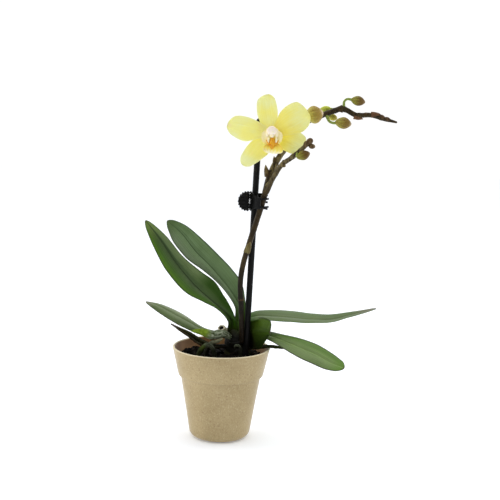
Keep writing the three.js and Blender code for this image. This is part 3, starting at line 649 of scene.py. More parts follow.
STEM = {
    "path": [[12, 7, 48], [12, 7, 62], [12, 7, 74], [12.3, 7, 84], [13, 7, 90.5]],
    "radii": [5.5, 7, 8, 6.8, 3.6],
    "flat": 0.85,
    "axis": (12.3, 7),
}

# Heights between which the crown goes from olive and from dark to clean, and those colours. The olive is the
# sheaths' own; the dark is painted shade of the crown, with some soil stain.
CROWN_OLIVE = (80, 90)
CROWN_SHADE_HEIGHTS = (78.5, 89)
OLIVE_STAIN = tone(58, 56, 22)
SOIL_STAIN_AND_SHADE = (0.003, 0.003, 0.0015)

# A leaf's base clasps the stem: its rows, its half-turn at the foot and at the top in degrees, and how far
# the first leaf stands off the stem and each next one off the last.
SHEATH = {"rows": 22, "foot": 118, "top": 68, "clearance": 0.7, "step": 0.25}

# A leaf's rows and columns, and its reliefs in mm: waves of the margin, bulge of the halves, slow swell,
# wrinkles of an old leaf, the groove over the midrib and the keel under it.
LEAF_GRID = (110, 36)
LEAF_RELIEF = {"wave": 0.5, "bulge": 0.55, "swell": 0.35, "wrinkle": 0.35, "groove": 0.45, "keel": 0.55}

# upper is 1 where a leaf's upper face looks along its up direction, and -1 where it looks the other way.
# sheath is how far its base runs down the stem.
LEAVES = {
    "leaf_upper_left_front": dict(
        spine=[[8.4, 1.4, 85.2], [6.9, -3.2, 94], [-1.5, -7, 103], [-12.5, -10, 113],
               [-24, -13, 124.5], [-36, -16, 139.5], [-47.5, -19, 156.5], [-58.5, -21, 171]],
        across=[[1, -0.2, 0.25], [0.55, 0.75, 0.4], [0.6, 0.5, 0.6], [0.75, 0.1, 0.65]],
        far=[4, 3.6, 8.2, 12.9, 10.8, 7.1, 5.3, 1.9], near=[4, 3.3, 2.8, 6.4, 10.7, 10.6, 7.3, 1.8],
        fold=[-0.3, -0.25, -0.2, -0.2], blunt=0.955, upper=-1, look="front", sheath=15,
    ),
    "leaf_upper_left_back": dict(
        spine=[[14, 5.4, 91.2], [13, 7, 102.5], [6, 9.5, 113.5], [-2.5, 12, 123.5],
               [-12.5, 14, 134], [-23, 16, 144], [-34.5, 18, 157.5], [-45.5, 19, 166.5]],
        across=[[1, 0.3, 0.2], [0.75, 0.55, 0.45], [0.6, 0.5, 0.6], [0.7, 0.2, 0.65]],
        far=[4.6, 5.2, 10.8, 11.8, 11.3, 10.8, 7.2, 2.6], near=[4.6, 4.5, 4.2, 5.1, 7.7, 10.1, 9.4, 2.2],
        fold=[-0.3, -0.2, -0.12, -0.1], blunt=0.955, upper=-1, look="broad", sheath=12,
    ),
    "leaf_low_left": dict(
        spine=[[3.8, 6.6, 77.5], [-4.5, 9, 79.5], [-15, 13, 81], [-26, 17, 85.5],
               [-35.5, 21, 89.5], [-45, 25, 93.5], [-54, 28, 97], [-62.5, 31, 99]],
        across=[[0.15, 1, 0.1], [0.4, 0.9, 0.18], [0.45, 0.87, 0.18]],
        far=[3.4, 3.8, 5, 6.3, 6.8, 6.2, 4.3, 1.2], near=[3.4, 5, 7.4, 9.2, 9.7, 8.6, 5.6, 1.2],
        fold=[0.05, 0.08, 0.08], blunt=0.965, upper=-1, look="grey", sheath=12,
    ),
    "leaf_old_left": dict(
        spine=[[4.1, 5.6, 70.3], [-3, 4, 70], [-8, 2, 70.4], [-13, -0.5, 72],
               [-19.5, -3.5, 76], [-25.5, -6.5, 81.5], [-32.5, -9.5, 86.5], [-39, -12.5, 91]],
        across=[[0.3, 1, 0.2], [0.3, 0.8, 0.5], [0.3, 0.5, 0.6]],
        far=[2.4, 2.6, 3, 3.6, 3.6, 2.6, 1.3, 0.5], near=[2.2, 2, 2.2, 2.8, 3, 2.4, 1.4, 0.4],
        fold=[-0.3, -0.3, -0.2], upper=-1, look="old_left", sheath=7,
    ),
    "leaf_right_high": dict(
        spine=[[17.9, 7.4, 91.4], [28, 8.2, 94.4], [41.5, 9.5, 93.9], [55.5, 10.5, 93],
               [70.5, 11, 92.1], [85.5, 12, 92.1], [102, 13, 96.4], [121, 14, 102]],
        across=[[0, 0.9, 0.45], [0, 1, 0.2], [0, 1, 0.1], [0, 1, 0.11], [0, 1, 0.12], [0, 1, 0.14]],
        far=[4.6, 7.4, 11.8, 14.5, 12, 9.3, 5.6, 1.6], near=[5, 8.4, 11.6, 13.8, 14, 12, 7, 1.3],
        fold=[0.1, 0.12, 0.14, 0.16, 0.14], blunt=0.975, upper=1, look="silvery", sheath=13,
    ),
    "leaf_right_low": dict(
        spine=[[21.2, 9, 77.2], [31.5, 4.5, 80.3], [41.5, -6, 80.5], [51.5, -14, 78.5],
               [61, -22, 76.5], [71.5, -30, 74], [82, -38, 70], [92, -45, 68]],
        across=[[0.3, 0.95, 0.1], [0.5, 0.8, 0.3], [0.45, 0.75, 0.45], [0.5, 0.7, 0.5]],
        far=[3.2, 5.2, 6.6, 8.8, 9.5, 8.9, 8, 4.2], near=[2.6, 3.8, 5.9, 8.4, 10.3, 10.7, 7.9, 4.4],
        fold=[0.2, 0.15, 0.12, 0.1], blunt=0.94, upper=1, look="fresh", sheath=10,
    ),
    "leaf_short_front": dict(
        spine=[[20.3, 5.6, 83], [25, 1, 84], [28.5, -4.5, 85.5],
               [31.5, -10.5, 86.5], [34.5, -16.5, 87.5], [37, -22.5, 88.5]],
        across=[[0.1, 0.1, 1], [0, 0.1, 1]],
        far=[8.6, 10.4, 10.6, 10.2, 9, 4.6], near=[12.5, 14.4, 12.8, 8.8, 4.2, 1.2],
        fold=[-0.1, -0.25, -0.3], blunt=0.93, upper=-1, look="deep", sheath=9,
    ),
    "leaf_old_right": dict(
        spine=[[20.9, 7.4, 68.9], [26, 3, 70.2], [31, -1, 72], [36.5, -5, 73.3],
               [42, -8, 73.9], [48, -11, 74.2], [54, -13.5, 74.2]],
        across=[[0.3, 1, 0.1], [0.4, 0.9, 0]],
        far=[2, 3, 3.4, 3.4, 3, 2.2, 0.5], near=[2, 2.4, 3, 3, 2.6, 2, 0.4],
        fold=[0.1, 0.1], upper=1, look="old_right", sheath=6,
    ),
}

# Display colours of a leaf: by its midrib, toward its far and near margins, at its base, tip and rim.
# Then the midrib's brightness beside its leaf, and where the base's colour ends. A midrib darker than its
# leaf is painted shade in its groove; a dark rim is partly the margin's own colour and partly painted shade
# on its edge.
LEAF_LOOKS = {
    # front: its greyish far half is painted sheen over the leaf's own green.
    "front": (
        (66, 86, 46), (98, 116, 72), (66, 98, 32), (32, 52, 9), (106, 126, 64), (44, 66, 20), 0.3, 0.5,
    ),
    "broad": (
        (103, 126, 86), (103, 127, 84), (108, 124, 94), (64, 92, 28), (84, 104, 62), (44, 60, 30), 0.42, 0.3,
    ),
    "grey": (
        (108, 123, 84), (130, 140, 110), (74, 92, 46), (84, 102, 46), (118, 120, 96), (60, 70, 38), 0.5, 0.3,
    ),
    "silvery": (
        (93, 111, 69), (78, 102, 50), (82, 103, 53), (44, 88, 10), (112, 110, 92), (72, 100, 40), 0.85, 0.17,
    ),
    "fresh": (
        (108, 130, 76), (88, 118, 50), (98, 118, 68), (58, 70, 40), (86, 120, 42), (46, 54, 26), 1.5, 0.34,
    ),
    # deep: its dark near half is painted shade from the leaf above it.
    "deep": (
        (56, 77, 20), (74, 100, 26), (35, 49, 15), (28, 42, 10), (50, 68, 20), (38, 54, 16), 0.8, 0.15,
    ),
    "old_left": (
        (44, 44, 20), (54, 54, 28), (56, 48, 26), (16, 17, 7), (104, 96, 88), (46, 34, 22), 0.6, 0.5,
    ),
    "old_right": (
        (46, 54, 26), (60, 62, 34), (40, 48, 20), (34, 38, 18), (74, 80, 48), (46, 40, 24), 0.8, 0.4,
    ),
}
ALIKE = ("grey", "deep")  # looks with the same colours on both faces
VEIN_LIGHT = (1.55, 1.5, 1.6)
VEIN_DARK = (0.56, 0.6, 0.52)


def shade_and_stain_crown(look, where=1):
    """Dulls the colour to olive toward the crown, and darkens it near the bark with painted shade, partly
    damp stain.
    """
    height = look.height()
    look.lay(OLIVE_STAIN, look.times(look.ranged(height, *CROWN_OLIVE, 0.8, 0), where))
    look.lay(SOIL_STAIN_AND_SHADE, look.times(look.ranged(height, *CROWN_SHADE_HEIGHTS, 0.97, 0), where))


def leaf_material(name):
    old = name.startswith("old")
    rough = 0.6 if old else 0.4
    look = Look("leaf_" + name, rough, 0.08 if old else 0.15)
    *colours, rib, base_to = LEAF_LOOKS[name]
    inner, far, near, base, tip, rim = (tone(*c) for c in colours)
    along, across = look.value("along"), look.value("across")
    off_middle = look.maths("ABSOLUTE", across)
    streaks = look.streaks(across, 30, along, 2, 4)
    cloud = look.noise(60, 4)
    look.colour = look.between(across, 0.12, 0.7, inner, far)
    look.lay(near, across, -0.12, -0.85)
    look.lay(base, along, base_to, 0.02)
    look.lay(tip, along, 0.84, 0.99)
    if name == "front":
        patch = look.times(look.ranged(across, 0.1, 0.6), look.ranged(along, 0.62, 0.45))
        look.lay(tone(40, 70, 6), patch)
        edge = look.times(look.ranged(across, -0.62, -0.95), look.ranged(along, 0.35, 0.7))
        look.lay(tone(78, 112, 30), edge)
    look.lay(VEIN_LIGHT, streaks, 0.5, 0.68, 0.6, "MULTIPLY")
    look.lay(VEIN_DARK, streaks, 0.47, 0.32, 0.6, "MULTIPLY")
    look.lay(VEIN_DARK, cloud, 0.58, 0.3, 0.4, "MULTIPLY")
    # A midrib brightness below 1 is painted shade in its groove.
    look.lay(scaled(inner, rib), off_middle, 0.055, 0.01, 0.9)
    # Painted shade: a dark strip in the groove beside the midrib of the front leaf's upper part.
    if name == "front":
        groove = look.times(look.ranged(across, 0.02, 0.06), look.ranged(across, 0.34, 0.14))
        look.lay(tone(38, 58, 20), look.times(groove, look.ranged(along, 0.62, 0.8, 0, 0.75)))
    if name not in ALIKE:
        under = look.between(streaks, 0.35, 0.75, scaled(inner, 0.9), scaled(inner, 1.4))
        look.colour = look.mix(look.value("side"), under, look.colour)
    # The rim: partly the margin's own colour, partly painted shade on the leaf's edge.
    look.lay(rim, off_middle, 0.87, 0.98, 0.9)
    look.lay(tone(70, 56, 36), along, 0.985, 1, 0.7)
    if not old:
        shade_and_stain_crown(look, look.ranged(along, 0.25, 0.08))
    look.adjust({"Roughness": look.ranged(cloud, 0.3, 0.7, rough - 0.06, rough + 0.08)})
    look.bump(streaks, 0.12, 0.5)
    look.bump(look.noise(1500, 2), 0.03, 0.35)
    return look.done()


def stem_ring(z, angle, clearance):
    """Places round the stem's surface, at a height."""
    path = np.array(STEM["path"], float)
    x, y = (np.interp(z, path[:, 2], path[:, k]) for k in range(2))
    radius = np.interp(z, path[:, 2], STEM["radii"]) + clearance
    ring = [x + radius * np.cos(angle), y + radius * STEM["flat"] * np.sin(angle), np.full(len(angle), z)]
    return np.stack(ring, axis=-1)


def with_sheath(made, form, order):
    """Carries a leaf's base down into a sheath that clasps the stem."""
    base = made["surface"][0]
    middle = base[len(base) // 2]
    x, y = STEM["axis"]
    facing = math.atan2((middle[1] - y) / STEM["flat"], middle[0] - x)
    tangential = np.array([-math.sin(facing), math.cos(facing)])
    way = 1 if tangential.dot((base[-1] - base[0])[:2]) > 0 else -1
    rows = SHEATH["rows"]
    sheath = []
    for t in np.arange(rows) / rows:
        grown = t * t * (3 - 2 * t)
        half_turn = math.radians(SHEATH["foot"] + (SHEATH["top"] - SHEATH["foot"]) * t)
        height = middle[2] - form["sheath"] * (1 - t)
        clearance = SHEATH["clearance"] + SHEATH["step"] * order
        ring = stem_ring(height, facing + way * made["across"] * half_turn, clearance)
        sheath.append(ring * (1 - grown) + base * grown)
    surface = np.concatenate([np.array(sheath), made["surface"]])
    shares = np.concatenate([np.linspace(-0.2, 0, rows, endpoint=False), made["shares"]])
    reach = np.concatenate([np.repeat(made["reach"][:1], rows, axis=0), made["reach"]])
    return surface, shares, reach


def leaf(form, order):
    """A leaf and its sheath. order sets it apart from the other leaves."""
    made = blade_surface(form, *LEAF_GRID)
    surface, shares, reach = with_sheath(made, form, order)
    across, along = made["across"][None, :], shares[:, None]
    edge = np.abs(across)
    relief = LEAF_RELIEF
    waves = relief["wave"] * np.sin(9 * along + 3 * np.sign(across) + order) * edge**2.5
    bulge = form["upper"] * relief["bulge"] * np.sin(math.pi * edge) ** 1.5
    swell = relief["swell"] * fractal(surface, 22, order * 5.3, 2)
    if form["look"].startswith("old"):
        swell = swell + relief["wrinkle"] * fractal(surface * np.array([1, 1, 1.6]), 4, order)
    surface = raised(surface, (waves + bulge + swell) * clipped(along * 8) * clipped((1 - along) * 5))
    groove = relief["groove"] * hill(reach, 0.9) * clipped((1 - along) * 3) * clipped(along * 10)
    keel = relief["keel"] * hill(reach, 1.3) * clipped((1 - along) * 2)
    thickness = 0.35 + (1.0 - 0.45 * clipped(along)) * (1 - edge**3)
    top, under = (-groove, keel) if form["upper"] > 0 else (keel, -groove)
    part = thickened(surface, thickness, shares, made["across"], top, under)
    if form["upper"] < 0:
        part["values"]["side"] = 1 - part["values"]["side"]
    return part


def make_leaves():
    materials = {look: leaf_material(look) for look in LEAF_LOOKS}
    for order, (name, form) in enumerate(LEAVES.items()):
        piece(name + "_blade", [leaf(form, order)], materials[form["look"]], name)


def stem_material():
    look = Look("stem_tissue", 0.6, 0.12)
    streaks = look.noise(700, 4, stretch=(1, 1, 0.2))
    look.colour = look.between(look.height(), 66, 80, tone(48, 36, 24), tone(50, 60, 22))
    look.lay(tone(76, 66, 40), streaks, 0.45, 0.7, 0.6)
    shade_and_stain_crown(look)
    look.bump(streaks, 0.3, 0.6)
    return look.done()


def make_stem():
    def relief(share, angle, places):
        rings = 0.22 * np.sin(share * 70) ** 6
        return rings + 0.25 * fractal(places * np.array([1, 1, 0.4]), 3, 2.0)

    core = tube(STEM["path"], STEM["radii"], 48, 0.7, relief, flat_y=STEM["flat"])
    piece("stem_core", [core], stem_material(), "stem_base")


# ---------------------------------------------------------------- roots

# green_from is the share of the length where a tip turns green, and stain the heights between which
# the dark near the bark fades: painted shade, with some damp stain.
ROOTS = {
    "root_silver_left": dict(
        path=[[6.2, 1.7, 79], [1.5, -2.4, 81.8], [-2.5, -5.5, 82.3], [-7.5, -8.5, 82],
              [-12.5, -11, 84.3], [-18, -12, 85.5], [-23.2, -13, 86]],
        radii=[2.4, 3, 3.5, 3.5, 3.1, 2, 0.5], green_from=0.55, cream=0, stain=(60, 70),
    ),
    "root_cream_tip": dict(
        path=[[-13, -5, 57], [-11.8, -7.5, 67], [-8.2, -10, 75.4], [-3.4, -11.6, 78], [0.6, -12.2, 80]],
        radii=[1.7, 1.8, 1.8, 1.5, 0.8], green_from=2, cream=0.4, stain=(73, 84),
    ),
    "root_diving": dict(
        path=[[-4, -10.5, 57], [-4.6, -11.6, 65], [-6.4, -13, 72.6], [-9.8, -14.2, 75.6],
              [-13.2, -15, 74.2], [-16.4, -16, 70], [-21, -16.8, 57]],
        radii=[1.7, 1.8, 1.8, 1.8, 1.6, 1.7, 1.6], green_from=0.56, cream=0, stain=(71, 85),
    ),
    "root_curled": dict(
        path=[[14.5, -8, 57], [15, -9, 69], [14.6, -10, 73.4], [12.9, -10.6, 74.9],
              [11.2, -10.5, 74.6], [10.8, -10.2, 73.2], [11.7, -9.8, 72.2]],
        radii=[1.1, 1.1, 1, 1, 1, 0.9, 0.6], green_from=2, cream=0, stain=(73.4, 77.5),
    ),
}

# The cut root's hole looks along facing.
STUB = {
    "path": [[4.4, 7, 82], [1.4, 4.8, 83.4], [-0.4, 2.6, 85.6]], "radii": [2.2, 2.6, 2.9],
    "bore": 1.8, "depth": 3, "facing": [-0.25, -0.62, 0.74],
}


def root_material():
    look = Look("velamen", 0.72, 0.1)
    wrinkles = look.streaks(look.value("along"), 9, look.value("across"), 9, 5)
    cloud = look.noise(260, 3)
    look.colour = look.between(wrinkles, 0.38, 0.66, tone(58, 70, 38), tone(158, 168, 142))
    look.lay(tone(190, 196, 174), cloud, 0.55, 0.72, 0.6)
    look.lay(tone(176, 168, 128), look.value("cream"))
    look.lay(look.between(cloud, 0.3, 0.7, tone(84, 106, 16), tone(124, 150, 44)), look.value("green"))
    # Painted shade near the bark, with some damp stain, on each root's lower part.
    look.lay(tone(14, 14, 9), look.value("stain"))
    look.bump(wrinkles, 0.35, 0.7)
    look.bump(look.noise(1100, 3), 0.08, 0.6)
    return look.done()


def root(form, order):
    low, high = form["stain"]

    def relief(share, angle, places):
        wrinkles = 0.22 * np.sin(angle * 7 + 9 * share) * (0.5 + 0.5 * np.sin(share * 23 + order))
        return wrinkles + 0.28 * fractal(places, 4.5, order * 3.1)

    values = {
        "green": lambda shares: clipped((shares - form["green_from"]) / 0.12),
        "cream": lambda shares: form["cream"] * clipped(shares * 1.4),
        "stain": lambda shares: 0.93 * clipped((high - curve(form["path"], shares)[0][:, 2]) / (high - low)),
    }
    return tube(form["path"], form["radii"], 26, 0.5, relief, values=values)


def cut_stub():
    """A root cut short: its rim, and its pith rotted out to a dark hole."""
    shares = np.linspace(0, 1, 16)
    at, tangent = curve(STUB["path"], shares)
    way = unit(np.array(STUB["facing"]))
    bore = STUB["bore"]
    steps = np.array([0.35, 0.3, -0.2, -1.2, -STUB["depth"]])
    at = np.vstack([at, at[-1] + way * steps[:, None]])
    tangent = unit(tangent * (1 - shares[:, None]) + way * shares[:, None])
    tangent = np.vstack([tangent, np.repeat(way[None], len(steps), axis=0)])
    rim = STUB["radii"][-1] - 0.25
    radius = np.append(along_list(STUB["radii"], shares), [rim, bore + 0.25, bore, bore * 0.95, bore * 0.7])
    dark = np.append(np.zeros(len(shares) + 2), [0.4, 1, 1])
    normal, binormal = frames_along(tangent)
    angle = around(26)
    spoke = spokes(normal[:, None], binormal[:, None], angle[None, :])
    rough = 0.18 * np.sin(5 * angle)[None, :] + 0.15 * fractal(spoke * 3 + at[:, None], 2.5, 4, 2)
    rings = at[:, None] + spoke * (radius[:, None] + rough)[..., None]
    return skin(rings, {"along": np.linspace(0, 0.5, len(at))[:, None], "dark": dark[:, None]})


def stub_material():
    look = Look("cut_root", 0.8, 0.3)
    cloud = look.noise(500, 4)
    look.colour = look.between(cloud, 0.3, 0.7, tone(170, 162, 128), tone(226, 220, 198))
    look.lay(tone(96, 96, 66), look.value("along"), 0.22, 0.02)
    look.lay((0.002, 0.002, 0.002), look.value("dark"))
    look.bump(cloud, 0.3, 0.6)
    return look.done()


def make_roots():
    velamen = root_material()
    for order, (name, form) in enumerate(ROOTS.items()):
        piece(name + "_skin", [root(form, order)], velamen, name)
    piece("root_stub_rim", [cut_stub()], stub_material(), "root_cut_stub")


# ---------------------------------------------------------------- flower stalk

# nodes are the shares of the length where a stalk swells.
SPIKE = {
    "path": [
        [15.6, -1.8, 76], [15.2, -4.2, 92], [14.4, -5.1, 107], [13.5, -5.8, 122], [15, -6, 136.5],
        [19.5, -6, 154], [24.5, -6, 171], [29.2, -6, 187.5], [32.6, -6, 202], [36.7, -5.5, 213.5],
        [43.2, -4.5, 225], [54, -3, 241.5], [62, -2, 248.3], [71.5, 0, 252.2], [81.5, 1.5, 256],
        [86, 2, 257.5], [90.5, 2, 256.5], [98, 2, 253], [109, 2.5, 253.3], [120, 3, 250.5], [128.5, 3, 248.5],
    ],
    "radii": [
        1.8, 1.9, 2, 2, 2.1, 2.1, 2.2, 2.2, 2.6, 2.3, 2.2, 2.1, 2.1, 2.2, 2, 2.3, 2, 1.9, 1.8, 1.6, 0.8,
    ],
    "nodes": (0.115, 0.28, 0.50, 0.60, 0.70, 0.785, 0.86, 0.935),
}
BRANCH = {
    "path": [
        [31.6, -7, 193.5], [34, -9.5, 200], [36.5, -11.5, 205.5], [42, -16.5, 215],
        [48.5, -22, 220.5], [55.5, -27.5, 227], [61.5, -31, 233.5],
    ],
    "radii": [1.9, 1.9, 1.8, 1.8, 1.7, 1.7, 1.5],
    "nodes": (0.38, 0.7, 0.95),
}

# Where a bract sits, the way its point goes, its length and width, and how pale and how rusty it is.
BRACTS = [
    ([14.3, -5.1, 111], [-0.1, -0.2, 1], 4, 4.7, 0.15, 0.25),
    ([18.6, -6.2, 150], [0.3, -0.25, 1], 9.5, 4.8, 0.6, 0),
    ([33, -7.7, 199.4], [0.3, -0.3, 0.9], 4.4, 4.6, 0.5, 0),
    ([31.2, -6.4, 208.5], [-0.2, -0.1, 1], 9, 4, 0.15, 0.15),
    ([37.4, -5.2, 216], [-0.25, -0.1, 1], 7.5, 4, 0.15, 0.1),
    ([43, -17.4, 215.6], [0, -0.2, 1], 5.4, 3.8, 0.1, 0.1),
    ([85.4, 2, 257], [0.3, 0, 1], 5.4, 4.8, 0, 0.2),
    ([98.4, 1.6, 251.2], [1, 0, -0.2], 7.4, 3.2, 0.15, 1),
    ([111.6, 2.6, 253.8], [1, 0, 0.05], 7.4, 4.2, 0, 0.9),
]

# Rounded scales at the growing tips: centre, the way they point, length and width.
TIP_KNOBS = [
    ([61.4, -31.4, 233.6], [0.75, 0, 0.65], 5.6, 4.6),
    ([58.8, -30.4, 231.4], [0.2, -0.2, 1], 5.2, 3.8),
    ([63.2, -31, 230], [0.9, 0, -0.1], 5, 3.8),
    ([117, 3, 251.8], [1, 0, -0.25], 6, 4.4),
    ([121.4, 3, 250.6], [1, 0, -0.3], 5.4, 3.6),
    ([104.8, 2.4, 253.4], [1, 0, 0.1], 4.6, 4.0),
]


def spike_material():
    look = Look("flower_stalk", 0.42, 0.12)
    streaks = look.noise(560, 4, stretch=(1, 1, 0.3))
    cloud = look.noise(120, 3)
    height = look.height()
    look.colour = look.between(cloud, 0.35, 0.7, tone(33, 24, 13), tone(60, 47, 25))
    middle = look.times(look.ranged(height, 192, 214, 0.1, 1), look.ranged(height, 246, 228, 0.15, 1))
    look.lay(tone(114, 102, 68), look.times(look.ranged(streaks, 0.38, 0.6, 0, 0.9), middle))
    # Painted shade: the stalk goes darker low down, among the leaves.
    look.lay(tone(18, 14, 9), height, 142, 116, 0.75)
    distance, _ = look.cells(700)
    look.lay(tone(112, 98, 74), distance, 0.22, 0.12, 0.3)
    look.lay(look.between(streaks, 0.35, 0.7, tone(100, 84, 44), tone(146, 136, 84)), look.value("paleness"))
    look.lay(look.between(cloud, 0.3, 0.7, tone(84, 54, 34), tone(124, 90, 62)), look.value("rust"))
    look.bump(streaks, 0.15, 0.5)
    look.bump(cloud, 0.3, 0.3)
    return look.done()


def bract(at, to, length, width, paleness, rust):
    """A clasping scale: a hollow half-cone that runs to a point."""
    rows, columns = 18, 14
    way = unit(np.array(to, float))
    t = np.linspace(0, 1, rows + 1)[:, None]
    across = np.linspace(-1, 1, columns + 1)[None, :]
    angle = across * math.radians(125) * (1 - 0.55 * t**1.5)
    radius = width / 2 * (1 - 0.75 * t**2.2)
    centre = np.array(at)[None, None] + way * ((t - 0.35) * length)[..., None]
    taper = np.sqrt(1 - t**6) + 0.02
    surface = centre + spokes(*across_way(way), angle) * (radius * taper)[..., None]
    surface = surface + 0.12 * fractal(surface, 2.2, at[0], 2)[..., None]
    thickness = 0.5 * (1 - 0.6 * np.abs(across)) * np.ones_like(t)
    return thickened(surface, thickness, t[:, 0], across[0], values={"paleness": paleness, "rust": rust})


def knob(centre, to, length, width):
    """A rounded scale leaf, still closed over the bud inside it."""
    way = unit(np.array(to, float))
    turns = np.linspace(0.03, math.pi - 0.03, 18)
    angle = around(20)
    spoke = spokes(*across_way(way), angle)[None]
    seam = 1 - 0.14 * hill(np.sin(angle / 2 + 0.6), 0.12)
    reach = width / 2 * np.sin(turns)[:, None] * seam[None, :]
    rings = np.array(centre) - way * (length / 2 * np.cos(turns))[:, None, None] + spoke * reach[..., None]
    rings = rings + spoke * (0.15 * fractal(rings, 2.5, centre[0], 2))[..., None]
    along = (turns / math.pi)[:, None]
    return skin(rings, {"along": along, "rust": 0.15 + 0.3 * along, "paleness": 0.05})


def stalk(form, sides, amount, spread):
    """A ridged stalk that swells by an amount at each of its nodes."""
    def relief(share, angle, places):
        swell = sum(amount * hill(share - n, spread) for n in form["nodes"])
        ridges = 0.06 * np.sin(angle * 9 + 3 * share)
        return swell + ridges + 0.1 * fractal(places * np.array([1, 1, 0.5]), 2.5, 1.0)

    return tube(form["path"], form["radii"], sides, 0.6, relief)


def make_spike():
    parts = [stalk(SPIKE, 28, 0.28, 0.006), stalk(BRANCH, 24, 0.3, 0.02)]
    parts += [bract(*b) for b in BRACTS] + [knob(*k) for k in TIP_KNOBS]
    piece("flower_stalk_fine", parts, spike_material(), "flower_spike")


# ---------------------------------------------------------------- buds

# radius is that of a bud's stalk. ripe goes from green to straw, and fresh is how bright a green it is.
BUDS = {
    "bud_beside_flower": dict(
        stalk=[[54.8, -6.2, 242.2], [55.8, -9.4, 245.5], [57.4, -11.6, 249], [60.5, -12.2, 251]],
        base=[58.4, -12.2, 250.4], tip=[71.8, -12, 254.6], width=13.2, radius=1.1, ripe=0.75, fresh=0,
    ),
    "bud_over_rachis": dict(
        stalk=[[88.1, 2, 260], [88.3, 2, 263], [90.6, 2, 264.9], [94.6, 2, 264.4]],
        base=[93, 2, 264.6], tip=[104.2, 2, 262.8], width=7.4, radius=0.9, ripe=0.2, fresh=0,
    ),
    "bud_under_rachis": dict(
        stalk=[[75.4, -0.6, 251.6], [77.2, -3.2, 248], [80.4, -4, 246.8], [83.6, -4.6, 247.2]],
        base=[81.2, -4.3, 247.6], tip=[93.8, -5.4, 246.2], width=8.8, radius=1, ripe=0.4, fresh=0,
    ),
    "bud_pale_small": dict(
        stalk=[[77.6, 2.6, 253.6], [77.4, 5, 251.8], [78.4, 5.6, 250.4]],
        base=[76.6, 5.6, 251.6], tip=[84, 5.8, 250], width=5.2, radius=0.8, ripe=1, fresh=0.3,
    ),
    "bud_behind_rachis": dict(
        stalk=[[81.4, 3.4, 256.3], [80.6, 6.2, 257], [78.4, 7, 257]],
        base=[79.6, 6.9, 257], tip=[70.4, 7.2, 256.8], width=4.8, radius=0.9, ripe=0.2, fresh=0.9,
    ),
    "bud_on_branch": dict(
        stalk=[[53, -27.4, 224.2], [52.4, -30.6, 222.6], [53.4, -32, 222.2]],
        base=[52.2, -31.8, 221.4], tip=[62, -32, 225.2], width=7, radius=0.8, ripe=0.15, fresh=0,
    ),
}


def bud_material():
    look = Look("bud_skin", 0.45, 0.15)
    along, ripe = look.value("along"), look.value("ripe")
    veins = look.streaks(look.value("across"), 15, along, 1.5, 4)
    green = look.mix(ripe, tone(110, 112, 30), tone(196, 184, 92))
    brown = look.mix(ripe, tone(74, 44, 18), tone(168, 142, 62))
    flush = look.ranged(along, 0.2, 0.75, 0, 0.95)
    tint = look.maths("ADD", flush, look.ranged(veins, 0.46, 0.66, 0, 0.6), clamp=True)
    look.colour = look.mix(tint, green, brown)
    look.lay(tone(110, 84, 46), look.noise(380, 3), 0.58, 0.7, 0.3)
    look.lay(tone(226, 206, 176), look.times(look.ranged(along, 0.84, 0.96), ripe))
    look.lay(tone(196, 206, 80), look.value("fresh"))
    look.lay(tone(132, 148, 70), look.value("neck"))
    look.bump(veins, 0.15, 0.5)
    return look.done()


def bud_body(form):
    """A bud: three sepals closed over each other, with a seam between each pair, and a blunt beak."""
    start = np.array(form["base"], float)
    axis = np.array(form["tip"], float) - start
    length = np.linalg.norm(axis)
    way = axis / length
    t = 1 - (1 - np.linspace(0.004, 0.996, 44)) ** 1.1
    angle = around(48)
    beak = 0.27 * clipped((t - 0.9) / 0.1) * np.sqrt(1 - t)
    radius = form["width"] / 2 * (np.sin(math.pi * t**1.02) ** 0.68 + beak)
    seam = np.abs(np.sin(1.5 * (angle + 0.5)))
    seams_and_keels = 1 - 0.075 * hill(seam, 0.16) + 0.035 * hill(1 - seam, 0.12)
    reach = radius[:, None] * seams_and_keels[None, :]
    spoke = spokes(*across_way(way), angle)[None]
    rings = start + way * (t * length)[:, None, None] + spoke * reach[..., None]
    rings = rings + spoke * (0.12 * fractal(rings, 4, start[0], 2))[..., None]
    values = {"along": t[:, None], "across": (angle / math.pi - 1)[None, :]}
    return skin(rings, {**values, "ripe": form["ripe"], "fresh": form["fresh"]})


def make_buds(coat):
    for name, form in BUDS.items():
        radii = form["radius"] * np.array([1.25, 1, 1, 1.2])
        neck = tube(form["stalk"], radii, 18, 0.4, values={"ripe": form["ripe"], "neck": 1.0})
        piece(name + "_skin", [neck, bud_body(form)], coat, name)


# ---------------------------------------------------------------- open flower

# Places in the flower are a to the right, b up and c toward the front of its centre.
FLOWER = {"centre": (33.9, -27, 238), "start": 2.6, "root": 0.6, "layers": {"sepal": -0.8, "petal": 1.1}}
FOLDS = {"sepal": [0, 0.02, 0.08, 0.12], "petal": [0, -0.03, -0.08, -0.1]}
TEPAL_GRID = (84, 44)

